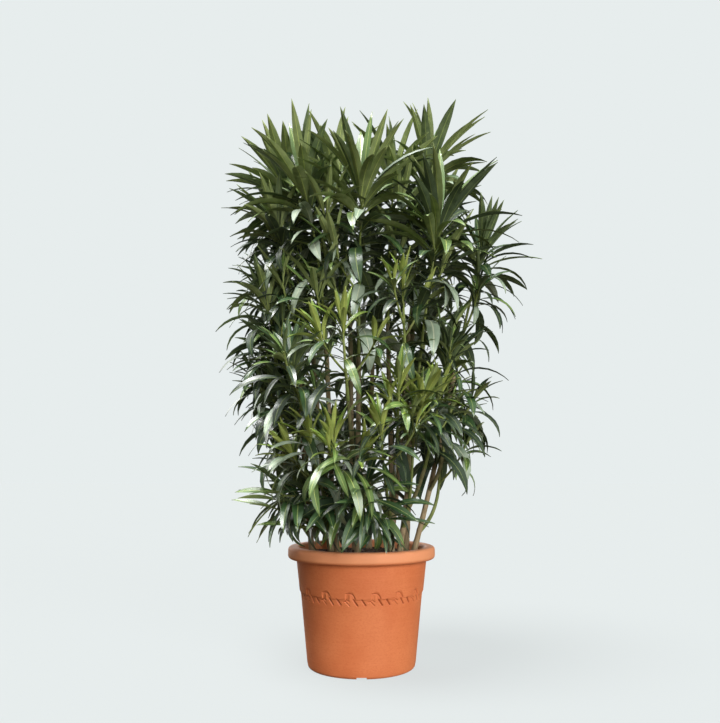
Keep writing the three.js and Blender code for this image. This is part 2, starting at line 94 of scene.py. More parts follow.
def seeded(seed):
    """A function that gives the same row of numbers from 0 to 1 for the same seed."""
    state = [seed]

    def draw():
        state[0] = (state[0] * ROW_FACTOR + ROW_STEP) % ROW_LIMIT
        return state[0] / ROW_LIMIT

    return draw


# %% [markdown]
# ## Camera
# The pot is a round thing of known proportions, so its two ellipses in the photo tell
# how far away and how high the camera stood. It is a little above the rim, 1.6 m away,
# and looks up by eight degrees, which is why the far rim shows above the near one.

# %% Camera
CAMERA_BACK = 1600
CAMERA_SIDE = -3
CAMERA_HEIGHT = 391
CAMERA_PITCH = 8.07
FOCAL_PIXELS = 760
FRAME_PIXELS = 723
SENSOR = 36
SEEN_UP_TO = 60


def linked(name, data):
    """A new object in the scene, at the origin."""
    thing = bpy.data.objects.new(name, data)
    bpy.context.scene.collection.objects.link(thing)
    return thing


camera_data = bpy.data.cameras.new("camera")
camera_data.sensor_width = SENSOR
camera_data.lens = FOCAL_PIXELS / FRAME_PIXELS * SENSOR
camera_data.clip_end = SEEN_UP_TO
camera = linked("camera", camera_data)
camera.location = (CAMERA_SIDE * MM, -CAMERA_BACK * MM, CAMERA_HEIGHT * MM)
camera.rotation_euler = (math.radians(90 + CAMERA_PITCH), 0, 0)
bpy.context.scene.camera = camera
print("Lens of", round(camera_data.lens, 2), "mm")

# %% [markdown]
# ## Shader maths as Python
# Node trees are easier to read as sums. Value wraps a socket, and each operator on it
# adds one Math node. Tree makes any other node from its type, its settings and what
# goes into its sockets. The same two classes serve materials and Geometry Nodes.

# %% Sums on sockets
def math_node(operation, other_first=False):
    """A method that adds one Math node, with the other number first where it is told to."""

    def method(self, other=0.0):
        numbers = {0: other, 1: self} if other_first else {0: self, 1: other}
        node = self.tree.add("ShaderNodeMath", {"operation": operation}, numbers)
        return Value(self.tree, node.outputs[0])

    return method


class Value:
    """A socket that can be used in Python sums."""

    def __init__(self, tree, socket):
        self.tree = tree
        self.socket = socket

    __add__ = __radd__ = math_node("ADD")
    __sub__, __rsub__ = math_node("SUBTRACT"), math_node("SUBTRACT", other_first=True)
    __mul__ = __rmul__ = math_node("MULTIPLY")
    __truediv__, __pow__, __abs__ = map(math_node, ("DIVIDE", "POWER", "ABSOLUTE"))
    sine, cosine, fraction = map(math_node, ("SINE", "COSINE", "FRACT"))
    above, below, at_least = map(math_node, ("GREATER_THAN", "LESS_THAN", "MAXIMUM"))

    def spread(self, low, high):
        """Moves the range low to high softly onto 0 to 1, held at its ends."""
        settings = {"interpolation_type": "SMOOTHSTEP"}
        inputs = {"Value": self, 1: low, 2: high}
        return self.tree.value("ShaderNodeMapRange", 0, settings, inputs)


# %% Node trees and finishes
class Tree:
    """A node tree that is built by calls."""

    def __init__(self, nodes_of):
        self.tree = nodes_of
        self.tree.nodes.clear()

    def add(self, kind, settings=None, inputs=None):
        """Makes one node: its settings first, then its inputs, each a value or a link."""
        node = self.tree.nodes.new(kind)
        for name, setting in (settings or {}).items():
            setattr(node, name, setting)
        for name, given in (inputs or {}).items():
            source = given.socket if isinstance(given, Value) else given
            if isinstance(source, bpy.types.NodeSocket):
                self.tree.links.new(source, node.inputs[name])
            else:
                node.inputs[name].default_value = source
        return node

    def value(self, kind, output=0, settings=None, inputs=None):
        return Value(self, self.add(kind, settings, inputs).outputs[output])

    def part_of(self, vector, letter):
        """One of the three numbers of a vector, by its letter."""
        split = self.add("ShaderNodeSeparateXYZ", {}, {0: vector})
        return Value(self, split.outputs[letter])

    def noise(self, vector, scale, detail=2.0, roughness=0.5):
        """Soft random patches, smaller where the scale is larger."""
        inputs = {"Vector": vector, "Scale": scale, "Detail": detail, "Roughness": roughness}
        return self.value("ShaderNodeTexNoise", 0, {}, inputs)

    def vector(self, operation, first, second):
        """A Vector Math node of two vectors."""
        settings = {"operation": operation}
        return self.add("ShaderNodeVectorMath", settings, {0: first, 1: second}).outputs[0]

    def scaled(self, vector, factor):
        """A vector times a value."""
        inputs = {0: vector, "Scale": factor}
        return self.add("ShaderNodeVectorMath", {"operation": "SCALE"}, inputs).outputs[0]


class Finish(Tree):
    """A material with one Principled shader."""

    def __init__(self, name, **constants):
        self.material = bpy.data.materials.new(name)
        self.material.use_nodes = True
        super().__init__(self.material.node_tree)
        self.shader = self.add("ShaderNodeBsdfPrincipled")
        for socket, given in constants.items():
            self.shader.inputs[socket.replace("_", " ")].default_value = given
        output = self.add("ShaderNodeOutputMaterial")
        self.tree.links.new(self.shader.outputs[0], output.inputs[0])

    def drive(self, socket, source):
        """Links a changing value or colour to a socket of the shader."""
        source = source.socket if isinstance(source, Value) else source
        self.tree.links.new(source, self.shader.inputs[socket])

    def place_of(self):
        """The point on the piece, in metres."""
        return self.add("ShaderNodeTexCoord").outputs["Object"]

    def uv(self):
        """The two coordinates of the piece's own UV map."""
        flat = self.add("ShaderNodeUVMap").outputs[0]
        return self.part_of(flat, "X"), self.part_of(flat, "Y")

    def mix(self, share, first, second):
        """A colour between two, each a socket or red, green and blue."""
        inputs = {0: share}
        for index, colour in ((6, first), (7, second)):
            plain = not isinstance(colour, bpy.types.NodeSocket)
            inputs[index] = (*colour, 1.0) if plain else colour
        return self.add("ShaderNodeMix", {"data_type": "RGBA"}, inputs).outputs[2]

    def relief(self, height, distance, strength=1.0):
        """Feeds a height to the shader's normal."""
        inputs = {"Height": height, "Distance": distance, "Strength": strength}
        self.drive("Normal", self.add("ShaderNodeBump", {}, inputs).outputs[0])


# %% [markdown]
# ## Stage and light
# The photo is a studio shot on a pale ground. Two large soft lights do most of the
# work: one low in front on the right, so the left of the pot is dark, and one overhead
# that brightens the leaves that face up. A weak one from behind keeps the back readable.
# The surround adds little light, but the leaves mirror a brighter one, which gives them
# their silvery sheen. The floor glows as pale as the backdrop, so its edge is not seen.

# %% Stage, surround and lights
BACKDROP = (0.799, 0.847, 0.847)
SOFT_TINT = (1.0, 0.74, 0.5)
SURROUND = 0.12
MIRROR_TINT = (0.76, 0.86, 0.68)
MIRRORED = 0.4
FLOOR_SIZE = 40
FLOOR_GLOW = 0.822
FLOOR_PAINT = 0.07
# Name of each light, its strength, its softness in degrees, and the side it comes from
LIGHTS = [
    ("key", 4.6, 44, (0.55, -0.95, 0.2)),
    ("top", 6.4, 32, (-0.25, -0.2, 1.0)),
    ("fill", 1.8, 60, (-0.4, 0.9, 0.4)),
]

world = bpy.data.worlds.new("studio")
bpy.context.scene.world = world
world.use_nodes = True
surround = Tree(world.node_tree)
rays = surround.add("ShaderNodeLightPath").outputs


def glow(colour, strength):
    inputs = {0: (*colour, 1), 1: strength}
    return surround.add("ShaderNodeBackground", {}, inputs).outputs[0]


def by_ray(kind, others, these):
    """One surround for rays of a kind, and another for all others."""
    inputs = {0: rays[kind], 1: others, 2: these}
    return surround.add("ShaderNodeMixShader", {}, inputs).outputs[0]


unseen = by_ray("Is Glossy Ray", glow(SOFT_TINT, SURROUND), glow(MIRROR_TINT, MIRRORED))
shown = by_ray("Is Camera Ray", unseen, glow(BACKDROP, 1.0))
surround.add("ShaderNodeOutputWorld", {}, {0: shown})

for name, strength, softness, side in LIGHTS:
    data = bpy.data.lights.new(name, "SUN")
    data.energy = strength
    data.angle = math.radians(softness)
    lamp = linked(name, data)
    lamp.rotation_euler = Vector(side).to_track_quat("Z", "Y").to_euler()

floor_mesh = bpy.data.meshes.new("floor")
half = FLOOR_SIZE / 2
corners = [(-half, -half, 0), (half, -half, 0), (half, half, 0), (-half, half, 0)]
floor_mesh.from_pydata(corners, [], [(0, 1, 2, 3)])
floor = linked("floor", floor_mesh)
pale = Finish(
    "pale_floor", Roughness=0.9, Specular_IOR_Level=0.0,
    Base_Color=(*(FLOOR_PAINT * share for share in BACKDROP), 1),
    Emission_Color=(*BACKDROP, 1), Emission_Strength=FLOOR_GLOW,
)
floor_mesh.materials.append(pale.material)
floor.visible_diffuse = False
floor.visible_glossy = False
bpy.context.scene.view_settings.view_transform = "Standard"
print(len(LIGHTS), "soft lights over a floor of", FLOOR_SIZE, "metres")

# %% [markdown]
# ## Geometry Nodes as Python
# Grower builds a Geometry Nodes tree with named inputs. Its run method puts the tree on
# a mesh as a modifier, sets the inputs, and keeps the result as a plain mesh, so that
# nothing live is left on a finished piece.

# %% Helper class for Geometry Nodes
class Grower(Tree):
    """A Geometry Nodes tree that turns a source mesh into a finished one."""

    def __init__(self, name, **inputs):
        group = bpy.data.node_groups.new(name, "GeometryNodeTree")
        super().__init__(group)
        sides = group.interface
        sides.new_socket("Mesh", in_out="INPUT", socket_type="NodeSocketGeometry")
        self.identifiers = {}
        for label, kind in inputs.items():
            socket = sides.new_socket(label, in_out="INPUT", socket_type="NodeSocket" + kind)
            self.identifiers[label] = socket.identifier
        sides.new_socket("Mesh", in_out="OUTPUT", socket_type="NodeSocketGeometry")
        self.given = self.add("NodeGroupInput").outputs

    def amount(self, name):
        """One of the tree's named inputs, for sums."""
        return Value(self, self.given[name])

    def carried(self, name, kind="FLOAT_VECTOR"):
        """What each point of the mesh carries under a name, such as a vector."""
        settings = {"data_type": kind}
        return self.add("GeometryNodeInputNamedAttribute", settings, {"Name": name}).outputs[0]

    def number(self, name):
        """A number that each point of the mesh carries, for sums."""
        return Value(self, self.carried(name, "FLOAT"))

    def step(self, kind, geometry, **inputs):
        """One node on the way of the geometry. Underscores in input names are spaces."""
        plain = {name.replace("_", " "): given for name, given in inputs.items()}
        return self.add(kind, {}, {0: geometry, **plain}).outputs[0]

    def sum_of(self, *vectors):
        total = vectors[0]
        for vector in vectors[1:]:
            total = self.vector("ADD", total, vector)
        return total

    def ends_in(self, geometry):
        self.add("NodeGroupOutput", {}, {0: geometry})

    def ends_smooth(self, geometry):
        """Smooth shading and the tree's one finish, which most trees end in."""
        smooth = self.step("GeometryNodeSetShadeSmooth", geometry)
        self.ends_in(self.step("GeometryNodeSetMaterial", smooth, Material=self.given["Finish"]))

    def run(self, source, name, **values):
        """Applies the tree to a source object and gives the result as a new piece."""
        modifier = source.modifiers.new(name, "NODES")
        modifier.node_group = self.tree
        for label, value in values.items():
            modifier[self.identifiers[label]] = value
        depsgraph = bpy.context.evaluated_depsgraph_get()
        grown = source.evaluated_get(depsgraph)
        mesh = bpy.data.meshes.new_from_object(grown, depsgraph=depsgraph)
        source.modifiers.clear()
        bpy.data.objects.remove(source)
        mesh.name = name
        return linked(name, mesh)


def mesh_of(name, points, edges=(), faces=(), **attributes):
    """A mesh in metres from points in millimetres, with numbers or vectors on its points."""
    mesh = bpy.data.meshes.new(name)
    mesh.from_pydata([tuple(p) for p in np.array(points) * MM], list(edges), list(faces))
    for label, values in attributes.items():
        values = np.array(values, dtype=np.float32)
        kind = "FLOAT" if values.ndim == 1 else "FLOAT_VECTOR"
        store = mesh.attributes.new(label, kind, "POINT").data
        store.foreach_set("value" if kind == "FLOAT" else "vector", values.ravel())
    return mesh


def finished(piece, nodes):
    """Says what a piece rides on and the solids it stands for."""
    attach(piece, "root")
    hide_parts(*nodes)
    piece.data.calc_loop_triangles()
    print(piece.name, "has", len(piece.data.loop_triangles), "triangles")


def paint(red, green, blue):
    """A colour as a paint chart gives it, 0 to 255, made linear for the shader."""
    return tuple(((c / 255 + 0.055) / 1.055) ** 2.4 for c in (red, green, blue))


# %% [markdown]
# ## The pot
# The pot is moulded in one piece: a thick rolled rim, a slightly conical wall, and a
# running scroll pressed into it below the middle. It could be spun from a profile, but
# the scroll repeats sixteen times, so one sixteenth of the pot is made as a grid that
# carries one motif as real relief, and Geometry Nodes turn it round the axis.

# %% Profile of the pot
POT_HEIGHT = 236
RIM_RADIUS = 150
RIM_HEIGHT = 24
RIM_ROUND = 6.5
RIM_INNER_RADIUS = 127
WALL_TOP_RADIUS = 133
FOOT_RADIUS = 108
FOOT_ROUND = 6
WALL = 5
FLOOR_THICKNESS = 6
BAND_HEIGHT = 150
BAND_STEP = 1.8
BAND_LOW = 132
BAND_HIGH = 166
MOTIFS = 16
COLUMNS = 60
# Where the profile has its points, closer in the band than on the plain wall
BASE_RADII = (0, 40, 80, 98)
LOWEST_ROW, PLAIN_ROW, BAND_ROW = 12, 14, 0.75
UPPER_ROWS = (174, 184, 194, 204, 210)
CREASE_OUT, CREASE_DEEP, LIP_OUT = 0.7, 0.5, 3
INNER_DEPTHS = (8, 20, 60, 120)
INNER_FLOOR_RADIUS = 60
FOOT_STEPS, RIM_STEPS = 4, 6
rim_foot = POT_HEIGHT - RIM_HEIGHT
rim_top = POT_HEIGHT - RIM_ROUND


def arc(centre_radius, centre_height, radius, first, last, steps):
    """Points on a part of a circle, as radius and height."""
    angles = np.radians(np.linspace(first, last, steps + 1))
    across = centre_radius + radius * np.cos(angles)
    return list(zip(across, centre_height + radius * np.sin(angles)))


def wall_radius(height):
    """The wall outside gets wider by the same amount in each millimetre."""
    return FOOT_RADIUS + (WALL_TOP_RADIUS - FOOT_RADIUS) * (height / rim_foot)


plain_rows = range(LOWEST_ROW, BAND_LOW, PLAIN_ROW)
band_rows = np.arange(BAND_LOW, BAND_HIGH + BAND_ROW / 2, BAND_ROW)
wall_rows = [*plain_rows, *band_rows, *UPPER_ROWS]
profile = [(radius, 0) for radius in BASE_RADII]
profile += arc(FOOT_RADIUS - FOOT_ROUND, FOOT_ROUND, FOOT_ROUND, -90, 0, FOOT_STEPS)
profile += [(wall_radius(height), height) for height in wall_rows]
profile.append((WALL_TOP_RADIUS + CREASE_OUT, rim_foot - CREASE_DEEP))
profile.append((WALL_TOP_RADIUS + LIP_OUT, rim_foot))
for centre, height, first in (
    (RIM_RADIUS - RIM_ROUND, rim_foot + RIM_ROUND, -90),
    (RIM_RADIUS - RIM_ROUND, rim_top, 0),
    (RIM_INNER_RADIUS + RIM_ROUND, rim_top, 90),
):
    profile += arc(centre, height, RIM_ROUND, first, first + 90, RIM_STEPS)
inner_slope = (RIM_INNER_RADIUS - FOOT_RADIUS + WALL) / rim_top
profile += [(RIM_INNER_RADIUS - inner_slope * deep, rim_top - deep) for deep in INNER_DEPTHS]
profile += [(radius, FLOOR_THICKNESS) for radius in (FOOT_RADIUS - WALL, INNER_FLOOR_RADIUS, 0)]
print("The profile has", len(profile), "points")

# %% [markdown]
# The motif is a height map on the wall. Above a stepped line the wall is thicker, the
# line climbs over each scroll, and short slanting strokes are cut below it.

# %% One motif of the running scroll
MOTIF_WIDTH = 2 * math.pi * wall_radius(BAND_HEIGHT) / MOTIFS
MOTIF_PLACE = 0.34
LEDGE = 147.4
ARCH_TOP = 160.0
ARCH_MIDDLE, ARCH_HALF = 1.0, 9.5
DEEP, SHALLOW = 2.4, 1.5
# Each stroke: its depth, its width, then its points as distance from the scroll and height
STROKES = [
    (DEEP, 1.3, [(7.0, 147.5), (15.0, 136.6)]),
    (DEEP, 1.4, [(23.5, 147.2), (30.8, 137.2)]),
    (SHALLOW, 0.9, [(-8.3, 143.6), (-0.6, 136.2)]),
    (SHALLOW, 0.9, [(-12.5, 143.0), (-6.0, 147.0), (-1.0, 143.6)]),
    (SHALLOW, 0.9, [(-7.0, 158.3), (-1.0, 159.4), (4.5, 158.0), (8.5, 154.0), (10.8, 149.5)]),
]
STALK = [(0.5, 148.0), (1.0, 155.0)]
STALK_LIFT, STALK_WIDTH = 1.1, 2.2
# The step below the band is crisp between two scrolls and blurred round each
CRISP, BLURRED = 0.9, 3.5
BLUR_MIDDLE, BLUR_REACH, BLUR_FALL = -2.0, 2.2, 7.0


def stroke_distance(x, z, points):
    """How far grid points lie from a stroke, which comes again in each motif."""
    nearest = np.full(x.shape, 1e9)
    for shift in (-MOTIF_WIDTH, 0, MOTIF_WIDTH):
        for (ax, az), (bx, bz) in zip(points, points[1:]):
            run, rise = bx - ax, bz - az
            along = ((x + shift - ax) * run + (z - az) * rise) / (run**2 + rise**2)
            along = np.clip(along, 0, 1)
            gap = np.hypot(x + shift - ax - along * run, z - az - along * rise)
            nearest = np.minimum(nearest, gap)
    return nearest


def grooves(x, height):
    """How deep the strokes cut at a distance from the scroll and a height."""
    return sum(
        depth * np.exp(-((stroke_distance(x, height, points) / width) ** 2))
        for depth, width, points in STROKES
    )


def relief(x, height):
    """How far the wall stands out at a distance from the scroll and a height."""
    wrapped = (x + MOTIF_WIDTH / 2) % MOTIF_WIDTH - MOTIF_WIDTH / 2
    arch = np.sqrt(np.clip(1 - ((wrapped - ARCH_MIDDLE) / ARCH_HALF) ** 2, 0, 1))
    edge = LEDGE + (ARCH_TOP - LEDGE) * arch
    near_scroll = np.clip(BLUR_REACH - abs(wrapped - BLUR_MIDDLE) / BLUR_FALL, 0, 1)
    softness = CRISP + (BLURRED - CRISP) * near_scroll
    out = BAND_STEP * (np.clip((height - edge) / softness, -1, 1) - 1) / 2
    stalk = stroke_distance(x, height, STALK)
    return out - grooves(x, height) + STALK_LIFT * np.exp(-((stalk / STALK_WIDTH) ** 2))


def band_share(height):
    """The step fades in below the band, so the foot keeps its size."""
    return np.clip(height / BAND_LOW, 0, 1)


# %% One wedge of the pot, with its motif
# The relief goes on the wall outside, from just above the foot's round edge to the band
WALL_FROM = 8
INNER_ROWS = 8

rows = np.array(profile)
shares = np.linspace(0, 1, COLUMNS + 1)
angles = shares * 2 * math.pi / MOTIFS
grid_points = [(0.0, 0.0, rows[0][1])]
cuts = [0.0]
outer_rows = len(rows) - INNER_ROWS
for index, (radius, height) in enumerate(rows[1:-1], 1):
    reach = np.full(shares.shape, float(radius))
    cut = np.zeros(shares.shape)
    on_wall = WALL_FROM < height < BAND_HIGH + 1 and radius > FOOT_RADIUS
    if on_wall and index < outer_rows:
        x = (shares - MOTIF_PLACE) * MOTIF_WIDTH
        reach += relief(x, height) * band_share(height)
        cut += grooves(x, height)
    cuts += list(cut)
    heights = np.full(shares.shape, height)
    grid_points += list(zip(reach * np.cos(angles), reach * np.sin(angles), heights))
grid_points.append((0.0, 0.0, rows[-1][1]))
cuts.append(0.0)
width = COLUMNS + 1
wedge_faces = [(0, 1 + c + 1, 1 + c) for c in range(COLUMNS)]
for r in range(len(rows) - 3):
    low = 1 + r * width
    for c in range(COLUMNS):
        wedge_faces.append((low + c, low + c + 1, low + width + c + 1, low + width + c))
last = len(grid_points) - 1
top_row = 1 + (len(rows) - 3) * width
wedge_faces += [(last, top_row + c, top_row + c + 1) for c in range(COLUMNS)]
wedge = linked("wedge", mesh_of("wedge", grid_points, faces=wedge_faces, groove=cuts))
print("One wedge has", len(wedge_faces), "faces")

# %% [markdown]
# The pot is coloured through, a warm clay colour with a satin skin. Its finish has the
# fine grain of the mould, a soft mottling, a rim painted paler as painted light from
# above, and painted shade in the grooves of the scroll.

# %% Finish of the pot
clay = Finish("clay_coloured_plastic", Coat_Roughness=0.3, Specular_IOR_Level=0.22)
spot = clay.place_of()
mottle = clay.noise(spot, 14, 3)
grain = clay.noise(spot, 900, 2)
dust = clay.noise(clay.vector("MULTIPLY", spot, (3.0, 3.0, 40.0)), 6, 2)
warm = clay.mix(mottle.spread(0.35, 0.65), paint(200, 112, 68), paint(208, 122, 76))
speckled = clay.mix(grain.spread(0.62, 0.8) * 0.35, warm, paint(170, 82, 46))
cloud = clay.noise(clay.vector("MULTIPLY", spot, (1.0, 1.0, 1.8)), 230, 3, 0.65)
speckled = clay.mix(cloud.spread(0.42, 0.7) * 0.35, speckled, paint(186, 92, 52))
dusted = clay.mix(dust.spread(0.5, 0.75) * 0.2, speckled, paint(216, 128, 84))
up_the_pot = clay.part_of(spot, "Z")
# Painted light: the rim is painted paler, as if lit from above
painted_rim_light = up_the_pot.spread(rim_foot * MM, (rim_foot + 8) * MM)
walls = clay.mix(painted_rim_light * 0.65, dusted, paint(230, 160, 116))
# Painted shade: the grooves of the scroll are painted darker the deeper they are cut
painted_groove_shade = clay.value("ShaderNodeAttribute", 2, {"attribute_name": "groove"}).spread(0.3, 1.9)
clay.drive("Base Color", clay.mix(painted_groove_shade * 0.8, walls, paint(134, 56, 30)))
clay.drive("Roughness", 0.54 + mottle * 0.08 + grain * 0.06)
clay.drive("Coat Weight", 0.04 - mottle * 0.03)
clay.relief(grain * 0.4 + cloud * 0.6, 0.0005, 0.6)
print("The pot's finish has", len(clay.tree.nodes), "nodes")

# %% [markdown]
# Geometry Nodes set sixteen wedges round the axis and join them where they meet, so the
# pot is one closed shell with a scroll at the bearing where the photo shows it.

# %% Turn the wedge round the axis
# Bearing of the scroll that stands nearest to the front
SCROLL_BEARING = -100.6
MOTIF_TURN = math.radians(SCROLL_BEARING) - MOTIF_PLACE * 2 * math.pi / MOTIFS
WELD = 0.00002

round_grid = Grower("round_the_axis", Count="Int", Turn="Float", Finish="Material")
count = round_grid.amount("Count")
at_axis = {"Count": count, "Offset": (0, 0, 0)}
seats = round_grid.add("GeometryNodeMeshLine", {}, at_axis).outputs[0]
index = round_grid.value("GeometryNodeInputIndex")
angle = round_grid.amount("Turn") + index * (2 * math.pi) / count
about_axis = {"Axis": (0, 0, 1), "Angle": angle}
spin = round_grid.add("FunctionNodeAxisAngleToRotation", {}, about_axis).outputs[0]
wedges = round_grid.step(
    "GeometryNodeInstanceOnPoints", seats, Instance=round_grid.given["Mesh"], Rotation=spin
)
whole = round_grid.step("GeometryNodeRealizeInstances", wedges)
round_grid.ends_smooth(round_grid.step("GeometryNodeMergeByDistance", whole, Distance=WELD))
pot = round_grid.run(wedge, "moulded_pot", Count=MOTIFS, Turn=MOTIF_TURN, Finish=clay.material)
print("The whole pot has", len(pot.data.polygons), "faces")

# %% [markdown]
# Four shallow channels under the pot let water run off. They are cut last, because a
# cut through the finished grid leaves clean edges, and only the front one is seen.

# %% Cut the channels and the drains
CHANNEL_WIDTH = 19
CHANNEL_DEPTH = 4
CHANNEL_START = 62
CHANNEL_BEARINGS = (-90, 0, 90, 180)
DRAIN_RADIUS = 7
DRAIN_SIDES = 24
SHARP_ANGLE = 50


def cutter(name, make):
    """One mesh with a cutting shape at each channel."""
    tool = bmesh.new()
    for bearing in CHANNEL_BEARINGS:
        before = len(tool.verts)
        make(tool)
        tool.verts.ensure_lookup_table()
        turn = math.radians(bearing)
        for vert in tool.verts[before:]:
            x, y, z = vert.co * MM
            along = x * math.cos(turn) - y * math.sin(turn)
            vert.co = (along, x * math.sin(turn) + y * math.cos(turn), z)
    mesh = bpy.data.meshes.new(name)
    tool.to_mesh(mesh)
    tool.free()
    return linked(name, mesh)


def channel_shape(tool):
    made = bmesh.ops.create_cube(tool, size=1)["verts"]
    length = FOOT_RADIUS + WALL - CHANNEL_START
    bmesh.ops.scale(tool, verts=made, vec=(length, CHANNEL_WIDTH, 2 * CHANNEL_DEPTH))
    bmesh.ops.translate(tool, verts=made, vec=(CHANNEL_START + length / 2, 0, 0))


def drain_shape(tool):
    options = {"cap_ends": True, "segments": DRAIN_SIDES, "depth": 4 * FLOOR_THICKNESS}
    sizes = {"radius1": DRAIN_RADIUS, "radius2": DRAIN_RADIUS}
    made = bmesh.ops.create_cone(tool, **options, **sizes)["verts"]
    bmesh.ops.translate(tool, verts=made, vec=(CHANNEL_START + DRAIN_RADIUS, 0, 0))


def cut(piece, tool):
    """Cuts the tool out of the piece and keeps the result as its mesh."""
    modifier = piece.modifiers.new("cut", "BOOLEAN")
    modifier.object = tool
    modifier.operation = "DIFFERENCE"
    modifier.solver = "MANIFOLD"
    depsgraph = bpy.context.evaluated_depsgraph_get()
    mesh = bpy.data.meshes.new_from_object(piece.evaluated_get(depsgraph), depsgraph=depsgraph)
    piece.modifiers.clear()
    piece.data = mesh
    bpy.data.objects.remove(tool)


cut(pot, cutter("channels", channel_shape))
cut(pot, cutter("drains", drain_shape))
pot.data.set_sharp_from_angle(angle=math.radians(SHARP_ANGLE))
finished(pot, ["pot"])

# %% [markdown]
# ## The soil
# Potting mix settles a little below the rim. Its surface is lumpy, and coarse bits of
# bark and fibre lie on it. The lumps are a noise on a disc, and Geometry Nodes scatter
# the bits from a fixed seed, so they lie in the same places in every run.

# %% Surface of the soil
SOIL_TOP = 220
SOIL_SEGMENTS = 72
RING_SHARES = np.linspace(0.03, 0.985, 34)
SOIL_LUMPS = 2.2
# How close together the wide and the fine lumps are, and how high the fine ones are
WIDE_LUMPS, FINE_LUMPS, FINE_SHARE = 0.03, 0.11, 0.6
SOIL_EDGE_DIP, DIP_WIDTH = 3, 9
SOIL_CLEAR = 0.6
# The side starts a little under the surface and ends just above the pot's floor
SOIL_SHOULDER, ABOVE_FLOOR = 6, 0.3
wall_slope = (RIM_INNER_RADIUS - FOOT_RADIUS + WALL) / (rim_top - FLOOR_THICKNESS)


def inside_radius(height):
    return FOOT_RADIUS - WALL + wall_slope * (height - FLOOR_THICKNESS) - SOIL_CLEAR


def lump(x, y):
    """How high the soil stands above its level at a place."""
    wide = noise.noise(Vector((x * WIDE_LUMPS, y * WIDE_LUMPS, 0.5)))
    fine = noise.noise(Vector((x * FINE_LUMPS, y * FINE_LUMPS, 3.5)))
    return SOIL_LUMPS * (wide + FINE_SHARE * fine)


def circle(radius):
    """The places on one ring of the soil."""
    turns = [2 * math.pi * c / SOIL_SEGMENTS for c in range(SOIL_SEGMENTS)]
    return [(radius * math.cos(turn), radius * math.sin(turn)) for turn in turns]


soil_radius = inside_radius(SOIL_TOP)
soil_points = [(0, 0, SOIL_TOP + lump(0, 0))]
for radius in soil_radius * RING_SHARES:
    dip = SOIL_EDGE_DIP * max(0, 1 - (soil_radius - radius) / DIP_WIDTH)
    soil_points += [(x, y, SOIL_TOP + lump(x, y) - dip) for x, y in circle(radius)]
for height in (SOIL_TOP - SOIL_SHOULDER, FLOOR_THICKNESS + ABOVE_FLOOR):
    soil_points += [(x, y, height) for x, y in circle(inside_radius(height))]
around = [(c, (c + 1) % SOIL_SEGMENTS) for c in range(SOIL_SEGMENTS)]
soil_faces = [(0, 1 + a, 1 + b) for a, b in around]
for r in range(len(RING_SHARES) + 1):
    ring = 1 + r * SOIL_SEGMENTS
    below = ring + SOIL_SEGMENTS
    soil_faces += [(ring + a, below + a, below + b, ring + b) for a, b in around]
final = len(soil_points) - 1
soil_faces.append(tuple(range(final, final - SOIL_SEGMENTS, -1)))
bare_soil = linked("bare_soil", mesh_of("bare_soil", soil_points, faces=soil_faces))
print("The bare soil has", len(soil_faces), "faces")

# %% Finish of the soil, and its scattered bits
earth = Finish("potting_mix")
spot = earth.place_of()
clods = earth.noise(spot, 90, 4, 0.6)
fibres = earth.noise(spot, 420, 2)
dark_earth = earth.mix(clods.spread(0.3, 0.7), paint(42, 31, 24), paint(90, 66, 48))
fibrous = earth.mix(fibres.spread(0.62, 0.72) * 0.6, dark_earth, paint(112, 84, 62))
earth.drive("Base Color", fibrous)
earth.drive("Roughness", 0.98 - clods * 0.2)
earth.relief(clods + fibres * 0.4, 0.003, 0.9)

# The surface gets bits down to this far below its level, each flat, tilted and turned
BITS_FROM = 4
BIT_SMALL, BIT_LARGE = (0.5, 0.4, 0.2), (1.8, 1.1, 0.6)
BIT_LOW_TURN, BIT_HIGH_TURN = (-0.6, -0.6, 0.0), (0.6, 0.6, 6.28)
scatter = Grower("soil_bits", Density="Float", Seed="Int", Size="Float", Finish="Material")
position = scatter.add("GeometryNodeInputPosition").outputs[0]
top_side = scatter.part_of(position, "Z").above((SOIL_TOP - BITS_FROM) * MM)
spread_out = scatter.step(
    "GeometryNodeDistributePointsOnFaces", scatter.given["Mesh"],
    Selection=top_side, Density=scatter.given["Density"], Seed=scatter.given["Seed"],
)
bit = scatter.add("GeometryNodeMeshIcoSphere", {}, {"Radius": 1.0, "Subdivisions": 1}).outputs[0]


def random_between(low, high, seed):
    """A random vector for each bit, from a fixed seed."""
    settings = {"data_type": "FLOAT_VECTOR"}
    inputs = {0: low, 1: high, "Seed": seed}
    return scatter.add("FunctionNodeRandomValue", settings, inputs).outputs[0]


bits = scatter.step(
    "GeometryNodeInstanceOnPoints", spread_out, Instance=bit,
    Rotation=random_between(BIT_LOW_TURN, BIT_HIGH_TURN, 9),
    Scale=scatter.scaled(random_between(BIT_SMALL, BIT_LARGE, 4), scatter.amount("Size")),
)
loose = scatter.step("GeometryNodeRealizeInstances", bits)
both_parts = scatter.add("GeometryNodeJoinGeometry")
for part in (scatter.given["Mesh"], loose):
    scatter.tree.links.new(part, both_parts.inputs[0])
scatter.ends_smooth(both_parts.outputs[0])
amounts = {"Density": 22000.0, "Seed": 5, "Size": 0.0026}
soil = scatter.run(bare_soil, "potting_mix", Finish=earth.material, **amounts)
finished(soil, ["soil"])

# %% [markdown]
# ## How the plant grows
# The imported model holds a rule: twelve stems rise from the soil and lean outward, boughs
# fork off them, and each ends in a shoot whose leaves stand in rings of three. The same
# rule is written here with finer steps, so the leafy shoots go on from the same limbs.

# %% Curves that are asked by the share of their length
CURVE_STEPS = 200


